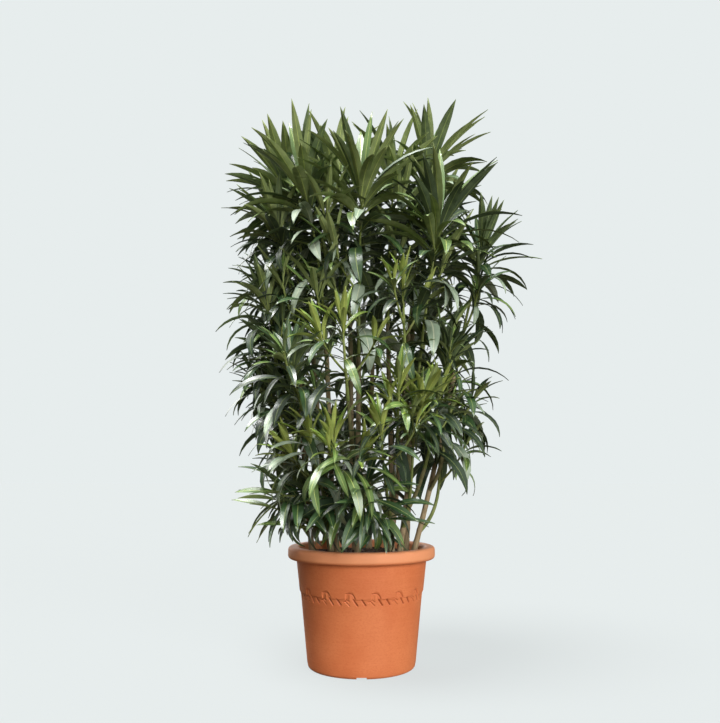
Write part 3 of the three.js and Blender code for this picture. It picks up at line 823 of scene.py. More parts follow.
class Curve:
    """A Bezier curve through space, in millimetres."""

    def __init__(self, *points):
        self.points = [np.array(p, dtype=float) for p in points]
        self.times = np.linspace(0, 1, CURVE_STEPS + 1)
        row = self.blend(self.points, self.times)
        hops = np.linalg.norm(np.diff(row, axis=0), axis=1)
        self.lengths = np.concatenate([[0], np.cumsum(hops)])
        self.length = self.lengths[-1]

    def blend(self, points, time):
        """The weighted mean of the curve's points at each time."""
        order = len(points) - 1
        time = np.asarray(time, dtype=float)[..., None]
        return sum(
            math.comb(order, k) * time**k * (1 - time) ** (order - k) * point
            for k, point in enumerate(points)
        )

    def time_at(self, share):
        return np.interp(np.asarray(share) * self.length, self.lengths, self.times)

    def point(self, share):
        return self.blend(self.points, self.time_at(share))

    def along(self, share):
        """The direction of the curve."""
        hops = [b - a for a, b in zip(self.points, self.points[1:])]
        return unit(self.blend(hops, self.time_at(share)))


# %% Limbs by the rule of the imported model
STEM_FOOT_RADIUS = 5.5
STEM_TIP_RADIUS = 4.3
STEM_LEAN = 1.2
STEM_TIP_LEAN = 0.28
STEM_HANDLE = 0.36
FLARE = 0.3
FLARE_HEIGHT = 20
FORK_LEAN = 0.95
FORK_RISE = 0.35
BOUGH_FOOT_SHARE = 0.72
BOUGH_TIP_RADIUS = 3.8
TWIG_RADIUS = 4.2
TWIG_TIP_RADIUS = 2.0


class Limb:
    """A curve with a wooden part from one share to another, and a radius at each share."""

    def __init__(self, curve, start, end, radius):
        self.curve, self.start, self.end, self.radius = curve, start, end, radius


def stem_limb(foot, tip, leafy):
    rise = np.linalg.norm(tip - foot)
    outward = unit((tip - foot) * (1, 1, 0))
    across, upright = np.hypot(*(tip - foot)[:2]), tip[2] - foot[2]
    first = unit(UP + outward * STEM_LEAN * across / upright)
    final = unit(UP + outward * STEM_TIP_LEAN)
    handle = rise * STEM_HANDLE
    curve = Curve(foot, foot + first * handle, tip - final * handle, tip)

    def radius(share):
        plain = STEM_FOOT_RADIUS + (STEM_TIP_RADIUS - STEM_FOOT_RADIUS) * share
        return plain * (1 + FLARE * math.exp(-share * curve.length / FLARE_HEIGHT))

    return Limb(curve, 0, 1 - leafy / curve.length, radius)


def fork_curve(parent, share, tip):
    u = parent.end * share
    start = parent.curve.point(u)
    outward = unit((tip - start) * (1, 1, 0))
    span = np.linalg.norm(tip - start)
    leave = unit(parent.curve.along(u) + outward * FORK_LEAN)
    final = unit(UP + outward * FORK_RISE)
    return Curve(start, start + leave * span * FORK_RISE, tip - final * span * FORK_RISE, tip)


def bough_limb(parent, share, tip, leafy):
    curve = fork_curve(parent, share, tip)
    foot = parent.radius(parent.end * share) * BOUGH_FOOT_SHARE
    end = 1 - leafy / curve.length
    return Limb(curve, 0, end, lambda u: foot + (BOUGH_TIP_RADIUS - foot) * min(1, u / end))


def twig_limb(curve, start, radius):
    def radius_at(share):
        return radius + (TWIG_TIP_RADIUS - radius) * (share - start) / (1 - start)

    return Limb(curve, start, 1, radius_at)


# %% [markdown]
# The table of shoots is the gardener's plan of this plant. Tall stems carry the crown's
# upright tufts, boughs fill the sides, and short young shoots spring from the old wood.
# Each kind of shoot has a column in the first table. It says how long the leafy part is,
# how its rings of leaves follow each other, lean, open and hang, how long its leaves are,
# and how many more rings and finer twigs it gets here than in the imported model.

# %% Kinds of shoot
KIND_NAMES = ("crown", "outer", "side", "young", "tuft", "skirt")
KIND_TABLE = {
    # Leafy length, rings of leaves, place of the first one, and steps that grow from it
    "leafy": (340, 260, 190, 150, 90, 140),
    "whorls": (10, 8, 6, 5, 4, 5),
    "first": (6, 6, 6, 6, 5, 6),
    "spacing": (18, 17, 16, 15, 14, 18),
    "spread": (1.13, 1.15, 1.25, 1.4, 1.4, 1.25),
    # Lean of the first rings and of the last, how late they open, and how far they hang
    "steep": (15, 16, 18, 8, 8, 34),
    "wide": (80, 80, 78, 86, 80, 88),
    "opening": (2.5, 2.3, 2.0, 1.7, 2.0, 1.6),
    "droop": (120, 122, 126, 124, 120, 132),
    # Length of a leaf, and its share in the first rings and in the last
    "length": (182, 138, 126, 84, 82, 142),
    "tip_share": (0.98, 0.92, 0.8, 0.9, 0.9, 0.7),
    "low_share": (0.72, 0.82, 1, 1.6, 1.25, 0.95),
    # How many rings count as the top, and how wide their leaves are
    "top_rings": (2.6, 2.6, 2.6, 1.3, 1.3, 2.6),
    "top_width": (0.105, 0.115, 0.13, 0.13, 0.14, 0.13),
    # Twigs at the side, and how many rings get others half and a quarter step further
    "side_twigs": (0, 0, 0, 1, 0, 1),
    "halves": (5, 5, 5, 2, 3, 5),
    "quarters": (3, 3, 1, 0, 0, 0),
    # Finer twigs, their rings, how they rise, turn to the side, and how large they are
    "fine_twigs": (2, 1, 2, 1, 1, 4),
    "fine_rings": (4, 4, 4, 3, 3, 3),
    "fine_rise": (1.2, 1.2, 1.2, 1.2, 1.2, -0.55),
    "fine_turn": (110, 110, 110, 110, 110, 45),
    "fine_size": (0.72, 0.72, 0.72, 0.72, 0.72, 0.95),
}
KINDS = {
    kind: {label: row[column] for label, row in KIND_TABLE.items()}
    for column, kind in enumerate(KIND_NAMES)
}
print(len(KINDS), "kinds of shoot, each with", len(KIND_TABLE), "numbers")

# %% Where each limb goes
# Name, bearing and reach of the foot, bearing, reach and height of the tip, and kind
STEMS = [
    ("front_left", -150, 56, -151, 136, 970, "crown"),
    ("front", -100, 46, -90, 112, 950, "crown"),
    ("right", 7, 92, 21, 168, 1066, "crown"),
    ("front_right", -29, 86, -39, 200, 870, "crown"),
    ("far_right", -10, 106, -4, 260, 852, "outer"),
    ("left", 150, 74, 163, 174, 1014, "crown"),
    ("far_left", -176, 100, -172, 182, 905, "outer"),
    ("middle", 22, 68, 34, 90, 1034, "crown"),
    ("back", 105, 52, 117, 124, 1062, "crown"),
    ("back_right", 48, 92, 40, 200, 978, "outer"),
    ("far_back", 80, 96, 81, 226, 960, "outer"),
    ("back_left", 130, 96, 139, 210, 936, "outer"),
]
# Name, stem, share of the stem, bearing, reach and height of the tip, and kind
BOUGHS = [
    ("upper_left", "left", 0.5, 168, 198, 806, "side"),
    ("left", "far_left", 0.42, -171, 202, 738, "side"),
    ("lower_left", "far_left", 0.22, 179, 188, 646, "side"),
    ("low_front_left", "front_left", 0.32, -130, 208, 594, "side"),
    ("front_centre", "front", 0.36, -100, 207, 662, "young"),
    ("front_upper", "front_right", 0.4, -65, 188, 741, "young"),
    ("low_front", "middle", 0.16, -73, 233, 545, "young"),
    ("low_front_right", "front_right", 0.26, -48, 222, 533, "young"),
    ("lower_right", "far_right", 0.34, -28, 198, 604, "side"),
    ("right_back", "back_right", 0.4, 46, 226, 730, "side"),
    ("low_back_left", "back_left", 0.35, 143, 222, 640, "side"),
]
# The same for shoots that spring from a stem without a bough
SPRIGS = [
    ("front_left_tuft", "front_left", 0.16, -119, 198, 456, "young"),
    ("front_tuft", "front", 0.2, -103, 229, 450, "young"),
    ("centre_tuft", "middle", 0.08, -81, 226, 463, "tuft"),
    ("right_tuft", "front_right", 0.18, -60, 200, 500, "tuft"),
    ("left_low", "far_left", 0.08, -163, 150, 548, "side"),
    ("right_low", "far_right", 0.12, 2, 176, 540, "side"),
    ("middle_back", "far_back", 0.35, 92, 258, 641, "side"),
    ("back_low_right", "back_right", 0.22, 60, 220, 580, "side"),
    ("back_low", "far_back", 0.16, 105, 216, 470, "side"),
    ("back_low_left", "back_left", 0.18, 146, 180, 500, "side"),
    ("skirt_left", "front_left", 0.08, -140, 118, 368, "skirt"),
    ("skirt_front", "front", 0.08, -86, 122, 366, "skirt"),
]
print(len(STEMS), "stems,", len(BOUGHS), "boughs and", len(SPRIGS), "lower shoots")

# %% Shoots, each with its twigs
SIDE_LOW, SIDE_RANGE = 0.55, 0.25
SIDE_TURN, SIDE_TURN_RANGE = 70, 30
SIDE_LENGTH = 0.6
SIDE_THICKNESS = 0.75
SIDE_LEAN, SIDE_RISE = 0.9, 1
TWIG_BEND = 0.55
TWIG_FROM_STEM, TWIG_FROM_BOUGH = 0.8, 0.9
SEED_STEP, SEED_START = 7919, 17
shoots = []
limbs = {}


def forked_twig(main, share, angle, lean, length, rise, radius):
    """A twig that leaves another to the side, has a knee, and then rises or hangs."""
    root = main.curve.point(share)
    sideways = turned(unit(root * (1, 1, 0)), UP, angle)
    leave = unit(main.curve.along(share) + sideways * lean)
    knee = root + leave * length * TWIG_BEND
    tip = knee + unit(leave + UP * rise) * length * (1 - TWIG_BEND)
    return twig_limb(Curve(root, knee, tip), 0, radius)


def side_twig(main, kind, draw):
    """A twig that leaves the main one part of the way up its leafy length."""
    leafy_share = min(1, kind["leafy"] / main.curve.length)
    u = 1 - leafy_share * (SIDE_LOW + draw() * SIDE_RANGE)
    hand = -1 if draw() < 0.5 else 1
    angle = hand * math.radians(SIDE_TURN + draw() * SIDE_TURN_RANGE)
    length, radius = kind["leafy"] * SIDE_LENGTH, main.radius(u) * SIDE_THICKNESS
    return forked_twig(main, u, angle, SIDE_LEAN, length, SIDE_RISE, radius)


def add_shoot(name, main, kind_name):
    kind = KINDS[kind_name]
    draw = seeded(len(shoots) * SEED_STEP + SEED_START)
    twigs = [main] + [side_twig(main, kind, draw) for _ in range(kind["side_twigs"])]
    shoots.append({"name": name, "kind": kind_name, "twigs": twigs, "draw": draw})


for name, foot_bearing, foot_reach, bearing, reach, height, kind_name in STEMS:
    foot = place(foot_bearing, foot_reach, SOIL_TOP)
    limb = stem_limb(foot, place(bearing, reach, height), KINDS[kind_name]["leafy"])
    limbs[name] = limb
    main = twig_limb(limb.curve, limb.end, STEM_TIP_RADIUS * TWIG_FROM_STEM)
    add_shoot("leaves_" + name + "_crown", main, kind_name)
for name, parent, share, bearing, reach, height, kind_name in BOUGHS:
    tip = place(bearing, reach, height)
    limb = bough_limb(limbs[parent], share, tip, KINDS[kind_name]["leafy"])
    limbs["bough_" + name] = limb
    main = twig_limb(limb.curve, limb.end, BOUGH_TIP_RADIUS * TWIG_FROM_BOUGH)
    add_shoot("leaves_" + name, main, kind_name)
for name, parent, share, bearing, reach, height, kind_name in SPRIGS:
    curve = fork_curve(limbs[parent], share, place(bearing, reach, height))
    add_shoot("leaves_" + name, twig_limb(curve, 0, TWIG_RADIUS), kind_name)
print(len(limbs), "limbs and", len(shoots), "shoots")

# %% [markdown]
# ## Wood
# A stem is a tapering tube with shallow fissures and, every few centimetres, the ring
# of scars that three fallen leaves leave behind. A path with a radius at each point is
# enough for Geometry Nodes to draw the tube and to press the relief into it.

# %% Geometry Nodes that turn a path into bark
SCAR_STEP = 0.026
# How much of the height comes from fissures, from knots and from rings of scars
FISSURES, KNOTS, SCARS = 1.2, 1.4, 0.55
SWELL_REACH = 9

tube = Grower("tube_with_bark", Sides="Int", Relief="Float", Finish="Material")
path = tube.step("GeometryNodeMeshToCurve", tube.given["Mesh"])
ring_size = {"Resolution": tube.given["Sides"], "Radius": 1.0}
ring = tube.add("GeometryNodeCurvePrimitiveCircle", {}, ring_size).outputs[0]
drawn = tube.step(
    "GeometryNodeCurveToMesh", path,
    Profile_Curve=ring, Scale=tube.number("radius"), Fill_Caps=True,
)
position = tube.add("GeometryNodeInputPosition").outputs[0]
normal = tube.add("GeometryNodeInputNormal").outputs[0]
fissures = tube.noise(tube.vector("MULTIPLY", position, (1.0, 1.0, 0.16)), 260.0, 3.0)
knots = tube.noise(position, 45.0, 2.0)
turns = (tube.number("along") / SCAR_STEP).fraction() * (2 * math.pi)
scars = turns.cosine().at_least(0.0) ** 6
height = (fissures - 0.5) * FISSURES + (knots - 0.5) * KNOTS + scars * SCARS
lifted = tube.scaled(normal, height * tube.amount("Relief"))
tube.ends_smooth(tube.step("GeometryNodeSetPosition", drawn, Offset=lifted))


def paths_of(name, runs, spacing):
    """A mesh of open paths, one for each run of limb, share, share and swelling."""
    points, edges, radii, along = [], [], [], []
    for limb, first, final, swell in runs:
        length = limb.curve.length * (final - first)
        count = max(4, int(length / spacing))
        for i in range(count + 1):
            share = first + (final - first) * i / count
            if i:
                edges.append((len(points) - 1, len(points)))
            points.append(limb.curve.point(share))
            fork = 1 + swell * math.exp(-i * length / count / SWELL_REACH)
            radii.append(limb.radius(share) * fork * MM)
            along.append(share * limb.curve.length * MM)
    return linked(name, mesh_of(name, points, edges=edges, radius=radii, along=along))


# %% Finish of the bark
def bark_finish(name, low_colour, high_colour, pale, dark):
    """Bark that greens towards the top, with fissures and pale pores."""
    bark = Finish(name)
    spot = bark.place_of()
    rise = bark.part_of(spot, "Z")
    grain = bark.noise(bark.vector("MULTIPLY", spot, (1.0, 1.0, 0.12)), 420, 3, 0.6)
    patches = bark.noise(spot, 38, 3)
    pores = bark.noise(spot, 520, 1)
    base = bark.mix(rise.spread(0.3, 0.75), low_colour, high_colour)
    lined = bark.mix(grain.spread(0.45, 0.75) * 0.75, base, dark)
    patched = bark.mix(patches.spread(0.45, 0.7) * 0.5, lined, pale)
    bark.drive("Base Color", bark.mix(pores.spread(0.68, 0.75) * 0.5, patched, pale))
    bark.drive("Roughness", 0.88 - patches * 0.2)
    bark.relief(grain * 0.7 + patches * 0.5, 0.0009, 0.8)
    return bark.material


old_bark = bark_finish(
    "old_bark", paint(144, 126, 94), paint(112, 106, 70), paint(170, 152, 120), paint(80, 66, 46)
)
green_bark = bark_finish(
    "green_bark", paint(118, 112, 74), paint(104, 112, 66), paint(150, 142, 98), paint(66, 62, 38)
)

# %% Stems and boughs
PATH_STEP = 5
INTO_TWIG = 4
BOUGH_SWELL = 0.35


def wooden_piece(name, slot, nodes, runs, step, **look):
    """All the tubes of one kind of wood, as one piece."""
    finished(tube.run(paths_of(name + "_paths", runs, step), name, **look), nodes)


stem_runs, bough_runs = [], []
for name, *_ in STEMS:
    limb = limbs[name]
    stem_runs.append((limb, 0, limb.end + INTO_TWIG / limb.curve.length, 0.0))
for name, *_ in BOUGHS:
    limb = limbs["bough_" + name]
    bough_runs.append((limb, 0, limb.end, BOUGH_SWELL))
wooden_piece(
    "stems_with_bark", "bark", ["stem_" + name for name, *_ in STEMS],
    stem_runs, PATH_STEP, Sides=20, Relief=0.0008, Finish=old_bark,
)
wooden_piece(
    "boughs_with_bark", "young_bark", ["bough_" + name for name, *_ in BOUGHS],
    bough_runs, PATH_STEP, Sides=14, Relief=0.0006, Finish=green_bark,
)

# %% [markdown]
# ## Shoots and finer twigs
# On the real plant every leafy shoot carries smaller ones. Each shoot therefore gets a
# few finer twigs, each with its own tuft, that stay within the shoot's own reach. They
# rise, but those just above the pot hang and stay to the front of their stem.

# %% Finer twigs on every shoot
FINE_RADIUS = 2.6
FINE_LEAN = 1.1
FINE_FROM, FINE_RANGE = 0.35, 0.6
FINE_SHORT, FINE_LONG = 70, 120
FINE_SEED_STEP, FINE_SEED_START = 104729, 29
TWIG_STEP = 9
TWIG_SWELL = 0.2
for index, shoot in enumerate(shoots):
    kind = KINDS[shoot["kind"]]
    main = shoot["twigs"][0]
    draw = seeded(index * FINE_SEED_STEP + FINE_SEED_START)
    shoot["fine"], shoot["fine_draw"] = [], draw
    leafy = min(kind["leafy"], main.curve.length * (1 - main.start)) / main.curve.length
    for i in range(kind["fine_twigs"]):
        u = 1 - leafy * (FINE_FROM + FINE_RANGE * (i + draw()) / kind["fine_twigs"])
        angle = math.radians(kind["fine_turn"] * (2 * draw() - 1))
        length = FINE_SHORT + (FINE_LONG - FINE_SHORT) * draw()
        rise = kind["fine_rise"]
        twig = forked_twig(main, u, angle, FINE_LEAN, length, rise, FINE_RADIUS)
        shoot["fine"].append(twig)

# %% Twig tubes
twig_finish = bark_finish(
    "green_twig", paint(104, 116, 58), paint(122, 138, 66), paint(150, 152, 92), paint(70, 74, 34)
)
all_masses = [shoot["name"] for shoot in shoots]
all_twigs = [twig for shoot in shoots for twig in shoot["twigs"] + shoot["fine"]]
twig_runs = [(twig, twig.start, 1, TWIG_SWELL) for twig in all_twigs]
wooden_piece(
    "green_twigs", "young_bark", all_masses,
    twig_runs, TWIG_STEP, Sides=8, Relief=0.0003, Finish=twig_finish,
)

# %% [markdown]
# ## One leaf
# An oleander leaf is a narrow blade, widest near its middle, with a pale straight rib
# and a leathery, slightly shining upper side. One flat thin leaf of some fifty faces is
# enough. Its points carry where they lie on the blade, and the arch comes later.

# %% A flat unit leaf, closed and thin
LEAF_OUTLINE = [
    (0.0, 0.10), (0.06, 0.13), (0.16, 0.42), (0.28, 0.72), (0.4, 0.93),
    (0.52, 1.0), (0.66, 0.94), (0.79, 0.72), (0.91, 0.36), (1.0, 0.03),
]
# Half width of the rib at the foot and how it tapers, and its most as a share of the blade
RIB_SHARE, RIB_FOOT, RIB_TAPER, RIB_MOST = 0.09, 1.15, 0.8, 0.6
RIB_RISE = 0.4
# Part of each face round the blade: 0 is the upper side, 1 the rib and 2 the underside
PARTS_ROUND = (0, 1, 0, 2, 1, 2)
CORNERS, UPPER_CORNERS = len(PARTS_ROUND), 4

leaf_points, leaf_faces, leaf_parts = [], [], []
for v, half in LEAF_OUTLINE:
    rib = min(half * RIB_MOST, RIB_SHARE * (RIB_FOOT - RIB_TAPER * v))
    upper = [(-half, 0.0), (-rib, RIB_RISE), (rib, RIB_RISE), (half, 0.0)]
    leaf_points += [(x, v, z) for x, z in upper + [(rib, -1.0), (-rib, -1.0)]]
for r in range(len(LEAF_OUTLINE) - 1):
    for c, part in enumerate(PARTS_ROUND):
        a, b = CORNERS * r + c, CORNERS * r + (c + 1) % CORNERS
        leaf_faces.append((a, b, b + CORNERS, a + CORNERS))
        leaf_parts.append(part)
last = CORNERS * (len(LEAF_OUTLINE) - 1)
leaf_faces += [tuple(range(CORNERS))[::-1], tuple(range(last, last + CORNERS))]
leaf_parts += [2, 2]
all_at_foot = np.zeros((len(leaf_points), 3))
flat_leaf = mesh_of("flat_leaf", all_at_foot, faces=leaf_faces, blade=leaf_points)
parts = flat_leaf.attributes.new("part", "FLOAT", "FACE")
parts.data.foreach_set("value", [float(p) for p in leaf_parts])
uv = flat_leaf.uv_layers.new(name="UVMap")
for corner in flat_leaf.loops:
    x, v, _ = leaf_points[corner.vertex_index]
    half = LEAF_OUTLINE[corner.vertex_index // CORNERS][1]
    uv.data[corner.index].uv = (0.5 + 0.5 * x / half, v)
# The edges along the blade on its upper side are sharp
sharp = flat_leaf.attributes.new("sharp_edge", "BOOLEAN", "EDGE")
for edge in flat_leaf.edges:
    first, second = (corner % CORNERS for corner in edge.vertices)
    sharp.data[edge.index].value = first == second and first < UPPER_CORNERS
leaf_source = linked("leaf_source", flat_leaf)
print("A leaf has", len(leaf_faces), "faces")

# %% [markdown]
# The tree below puts the flat leaf on each leaf's foot, then bends every point along an
# arc. A leaf's own numbers travel with it: length, width, bend, twist, fold along the
# rib, and three directions, along the leaf as it starts, across it and out of its face.

# %% Geometry Nodes that arch and place the leaves
arch = Grower(
    "arched_leaves", Leaf="Object", Thickness="Float",
    Upper="Material", Rib="Material", Under="Material",
)
shape = arch.add("GeometryNodeObjectInfo", {}, {0: arch.given["Leaf"]}).outputs["Geometry"]
placed = arch.step("GeometryNodeInstanceOnPoints", arch.given["Mesh"], Instance=shape)
loose = arch.step("GeometryNodeRealizeInstances", placed)
blade = arch.carried("blade")
across = arch.part_of(blade, "X") * arch.number("leaf_width") * 0.5
share = arch.part_of(blade, "Y")
thick = arch.part_of(blade, "Z") * arch.amount("Thickness")
lift = abs(across) * arch.number("leaf_fold") + thick
turn = arch.number("leaf_twist") * share
side_way = across * turn.cosine() - lift * turn.sine()
face_way = across * turn.sine() + lift * turn.cosine()
bend_angle = arch.number("leaf_bend") * share
reach_of = arch.number("leaf_length") / arch.number("leaf_bend")
ahead = reach_of * bend_angle.sine() + face_way * bend_angle.sine()
upward = reach_of * (bend_angle.cosine() - 1) + face_way * bend_angle.cosine()
moved = arch.sum_of(
    arch.scaled(arch.carried("leaf_across"), side_way),
    arch.scaled(arch.carried("leaf_ahead"), ahead),
    arch.scaled(arch.carried("leaf_face"), upward),
)
bent = arch.step("GeometryNodeSetPosition", loose, Offset=moved)
bent = arch.step("GeometryNodeSetShadeSmooth", bent)
part = arch.number("part")
for number, label in enumerate(("Upper", "Rib", "Under")):
    finish = {"Selection": abs(part - number).below(0.5), "Material": arch.given[label]}
    bent = arch.step("GeometryNodeSetMaterial", bent, **finish)
arch.ends_in(bent)
print("The arching tree has", len(arch.tree.nodes), "nodes")

# %% [markdown]
# ## Where each leaf grows
# From the tip of a shoot down, the rings of leaves open: the youngest stand upright
# round the bud, the older ones lean out, and the oldest arch over and hang. The rule
# draws each leaf's turn, lean, bend and length from the shoot's own row of numbers.

# %% The leaves of one twig
LEAF_ROOT_OUT = 1.3
HINGE_ACROSS = 0.35
# No ring of leaves stands nearer than this to the foot of its twig
BARE_FOOT = 8
TURN_RANGE, LEAN_RANGE, ROLL_RANGE = 0.5, 16, 0.7
BEND_LEAST, BEND_RANGE = 0.65, 0.7
LENGTH_LEAST, LENGTH_RANGE = 0.88, 0.24
# A leaf that is rolled further is also the softer one, up to the oldest rings
SOFT_BEND, ROLLED_BEND, OLD_STIFFER = 0.12, 1.9, 0.7


def leaf_directions(axis, turn, spread, roll):
    """Along, across and face direction of a leaf that leaves a twig."""
    reference = np.array([1.0, 0, 0]) if abs(axis[2]) > 0.5 else UP
    first = unit(np.cross(reference, axis))
    second = np.cross(axis, first)
    outward = first * math.cos(turn) + second * math.sin(turn)
    sideways = np.cross(axis, outward)
    start = axis * math.cos(spread) + outward * math.sin(spread)
    hinge = unit(np.cross(start, DOWN) + sideways * HINGE_ACROSS)
    across = turned(-hinge, start, roll)
    return outward, start, across, np.cross(across, start)


def leaves_of(twig, kind, rings, draw, small=1.0):
    """Rings of three leaves, tip first. Half steps put a ring between two others."""
    leaves = []
    first_turn = draw() * math.pi
    for ring in rings:
        wider = kind["spacing"] * (kind["spread"] ** ring - 1)
        back = kind["first"] + wider / (kind["spread"] - 1)
        u = 1 - back * small / twig.curve.length
        if u < twig.start + BARE_FOOT / twig.curve.length:
            break
        axis, knot = twig.curve.along(u), twig.curve.point(u)
        opened = ring**2 / (ring**2 + kind["opening"] ** 2)
        grown = kind["tip_share"] + (1 - kind["tip_share"]) * min(1, ring / 2)
        size = kind["length"] * grown * (1 + (kind["low_share"] - 1) * opened) * small
        lean = kind["steep"] + (kind["wide"] - kind["steep"]) * opened
        for k in range(3):
            turn = first_turn + math.pi / 3 * (2 * k + ring) + (draw() - 0.5) * TURN_RANGE
            spread = math.radians(lean + (draw() - 0.5) * LEAN_RANGE)
            droop = kind["droop"] * opened * (BEND_LEAST + draw() * BEND_RANGE)
            roll = (draw() - 0.5) * ROLL_RANGE
            leaf_length = size * (LENGTH_LEAST + draw() * LENGTH_RANGE)
            soft = (SOFT_BEND + ROLLED_BEND * abs(roll)) * (1 - OLD_STIFFER * opened)
            outward, start, across, face = leaf_directions(axis, turn, spread, roll)
            leaves.append({
                "root": knot + outward * LEAF_ROOT_OUT,
                "ahead": start, "across": across, "face": face, "length": leaf_length,
                "bend": math.radians(droop) + soft, "ring": ring, "opened": opened,
            })
    return leaves


# %% [markdown]
# A leaf that would pass through a limb, the soil or the pot, or that would reach out of
# the space of the solids, is tried again shorter and is otherwise left out.

# %% Leaves kept clear of wood, soil and pot
WOOD_SPOTS = 50
# How near a leaf may come to wood, soil and rim, and how far out of the solids' box
LEAF_CLEAR = 2.0
OVER_SOIL, OVER_RIM, BESIDE_RIM = 4, 5, 8
OUT_OF_BOX = 4
TRIED_LENGTHS = (1.0, 0.88, 0.74, 0.6)
BOX_LOW = np.array(cad_box[0]) / MM
BOX_HIGH = np.array(cad_box[1]) / MM
CHECK_SHARES = np.array([0.12, 0.3, 0.5, 0.7, 0.85, 1.0])

wood = [
    (limb, spot)
    for limb in limbs.values() for spot in np.linspace(limb.start, limb.end, WOOD_SPOTS)
]
wood_points = np.array([limb.curve.point(spot) for limb, spot in wood])
wood_radii = np.array([limb.radius(spot) for limb, spot in wood])
print(len(wood), "places on the wood are kept clear")


def leaf_line(leaf):
    """Points along the middle of an arched leaf."""
    angles = leaf["bend"] * CHECK_SHARES
    reach = leaf["length"] / leaf["bend"]
    forward = np.outer(reach * np.sin(angles), leaf["ahead"])
    return leaf["root"] + forward + np.outer(reach * (np.cos(angles) - 1), leaf["face"])


def fits(leaf):
    """Whether the whole leaf is clear of wood, soil and pot, and in the solids' box."""
    line = leaf_line(leaf)
    gaps = np.linalg.norm(line[:, None] - wood_points[None], axis=2) - wood_radii
    if gaps[1:].min() < LEAF_CLEAR:
        return False
    spread = np.hypot(line[:, 0], line[:, 1])
    in_soil = (line[:, 2] < SOIL_TOP + OVER_SOIL) & (spread < RIM_INNER_RADIUS + BESIDE_RIM)
    in_rim = (line[:, 2] < POT_HEIGHT + OVER_RIM) & (spread > RIM_INNER_RADIUS - BESIDE_RIM)
    outside = (line < BOX_LOW - OUT_OF_BOX) | (line > BOX_HIGH + OUT_OF_BOX)
    return not (in_soil.any() or in_rim.any() or outside.any())


def fitted(leaf):
    """The leaf at the longest length that fits, or nothing."""
    for tried in TRIED_LENGTHS:
        trial = dict(leaf, length=leaf["length"] * tried)
        if fits(trial):
            return trial
    return None


# %% All leaves
# A side twig has this many rings fewer than the main one
FEWER_ON_SIDE = 2
for shoot in shoots:
    kind, fine_draw = KINDS[shoot["kind"]], shoot["fine_draw"]
    leaves = []
    for number, twig in enumerate(shoot["twigs"]):
        rings = kind["whorls"] - (FEWER_ON_SIDE if number else 0)
        leaves += leaves_of(twig, kind, range(rings), shoot["draw"])
        halves = [ring + 0.5 for ring in range(min(rings, kind["halves"]))]
        leaves += leaves_of(twig, kind, halves, fine_draw)
        quarters = [ring / 2 + 0.25 for ring in range(2 * kind["quarters"])]
        leaves += leaves_of(twig, kind, quarters, fine_draw)
    for twig in shoot["fine"]:
        rings = range(kind["fine_rings"])
        leaves += leaves_of(twig, kind, rings, fine_draw, kind["fine_size"])
    shoot["leaves"] = leaves
    shoot["kept"] = [leaf for leaf in map(fitted, leaves) if leaf]
print(sum(len(shoot["leaves"]) for shoot in shoots), "leaves wanted")
print(sum(len(shoot["kept"]) for shoot in shoots), "leaves kept")

# %% [markdown]
# ## Leaf colours
# The upright leaves of the crown are olive, the old ones inside nearly bottle green,
# and those of the new shoots yellow green. A pale grey green tint on some lower leaves
# is painted sheen, which stands in for the light they mirror. Each spray draws its tint
# once per ring, and each tint has three finishes: a waxy upper side with fine veins, a
# pale rib, and a dull, greyer underside.

# %% Finishes of the leaves
VEINS, VEIN_SLANT = 46, 2.2


def rib_and_veins(leaf):
    """How far a point is from the rib, from 0 to 1, and how near it is to a vein."""
    across, along = leaf.uv()
    from_rib = abs(across - 0.5) * 2
    waves = (along * VEINS - from_rib * VEIN_SLANT) * (2 * math.pi)
    return from_rib, waves.sine().at_least(0.0)


def upper_finish(name, base, light, dark):
    """A waxy green with fine veins, paler at the rib and darker at the edge."""
    leaf = Finish(name, Coat_Roughness=0.27, Specular_IOR_Level=0.6)
    from_rib, veins = rib_and_veins(leaf)
    spot = leaf.place_of()
    blotch = leaf.noise(spot, 24, 3)
    fine = leaf.noise(spot, 160, 2)
    shade = leaf.mix(blotch.spread(0.35, 0.65), base, light)
    shade = leaf.mix(from_rib.spread(0.75, 1.0) * 0.45, shade, dark)
    shade = leaf.mix((1 - from_rib.spread(0.05, 0.3)) * 0.12, shade, light)
    leaf.drive("Base Color", leaf.mix(veins * 0.18, shade, light))
    leaf.drive("Roughness", 0.36 + blotch * 0.12 + fine * 0.06)
    leaf.drive("Coat Weight", 0.6 + blotch * 0.4)
    leaf.relief(veins * 0.5 + fine * 0.4, 0.0004, 0.5)
    return leaf.material


def rib_finish(name, base, light):
    """The pale rib, duller towards the leaf's tip."""
    rib = Finish(name)
    fine = rib.noise(rib.place_of(), 220, 2)
    rib.drive("Base Color", rib.mix(fine.spread(0.3, 0.7), base, light))
    rib.drive("Roughness", 0.45 + rib.uv()[1] * 0.12)
    return rib.material


def under_finish(name, base, light):
    """A dull, greyer green with raised veins."""
    leaf = Finish(name)
    from_rib, veins = rib_and_veins(leaf)
    blotch = leaf.noise(leaf.place_of(), 60, 3)
    shade = leaf.mix(blotch.spread(0.35, 0.65), base, light)
    leaf.drive("Base Color", leaf.mix(veins * 0.15, shade, light))
    leaf.drive("Roughness", 0.62 + blotch * 0.15)
    leaf.relief(veins, 0.0003, 0.5)
    return leaf.material


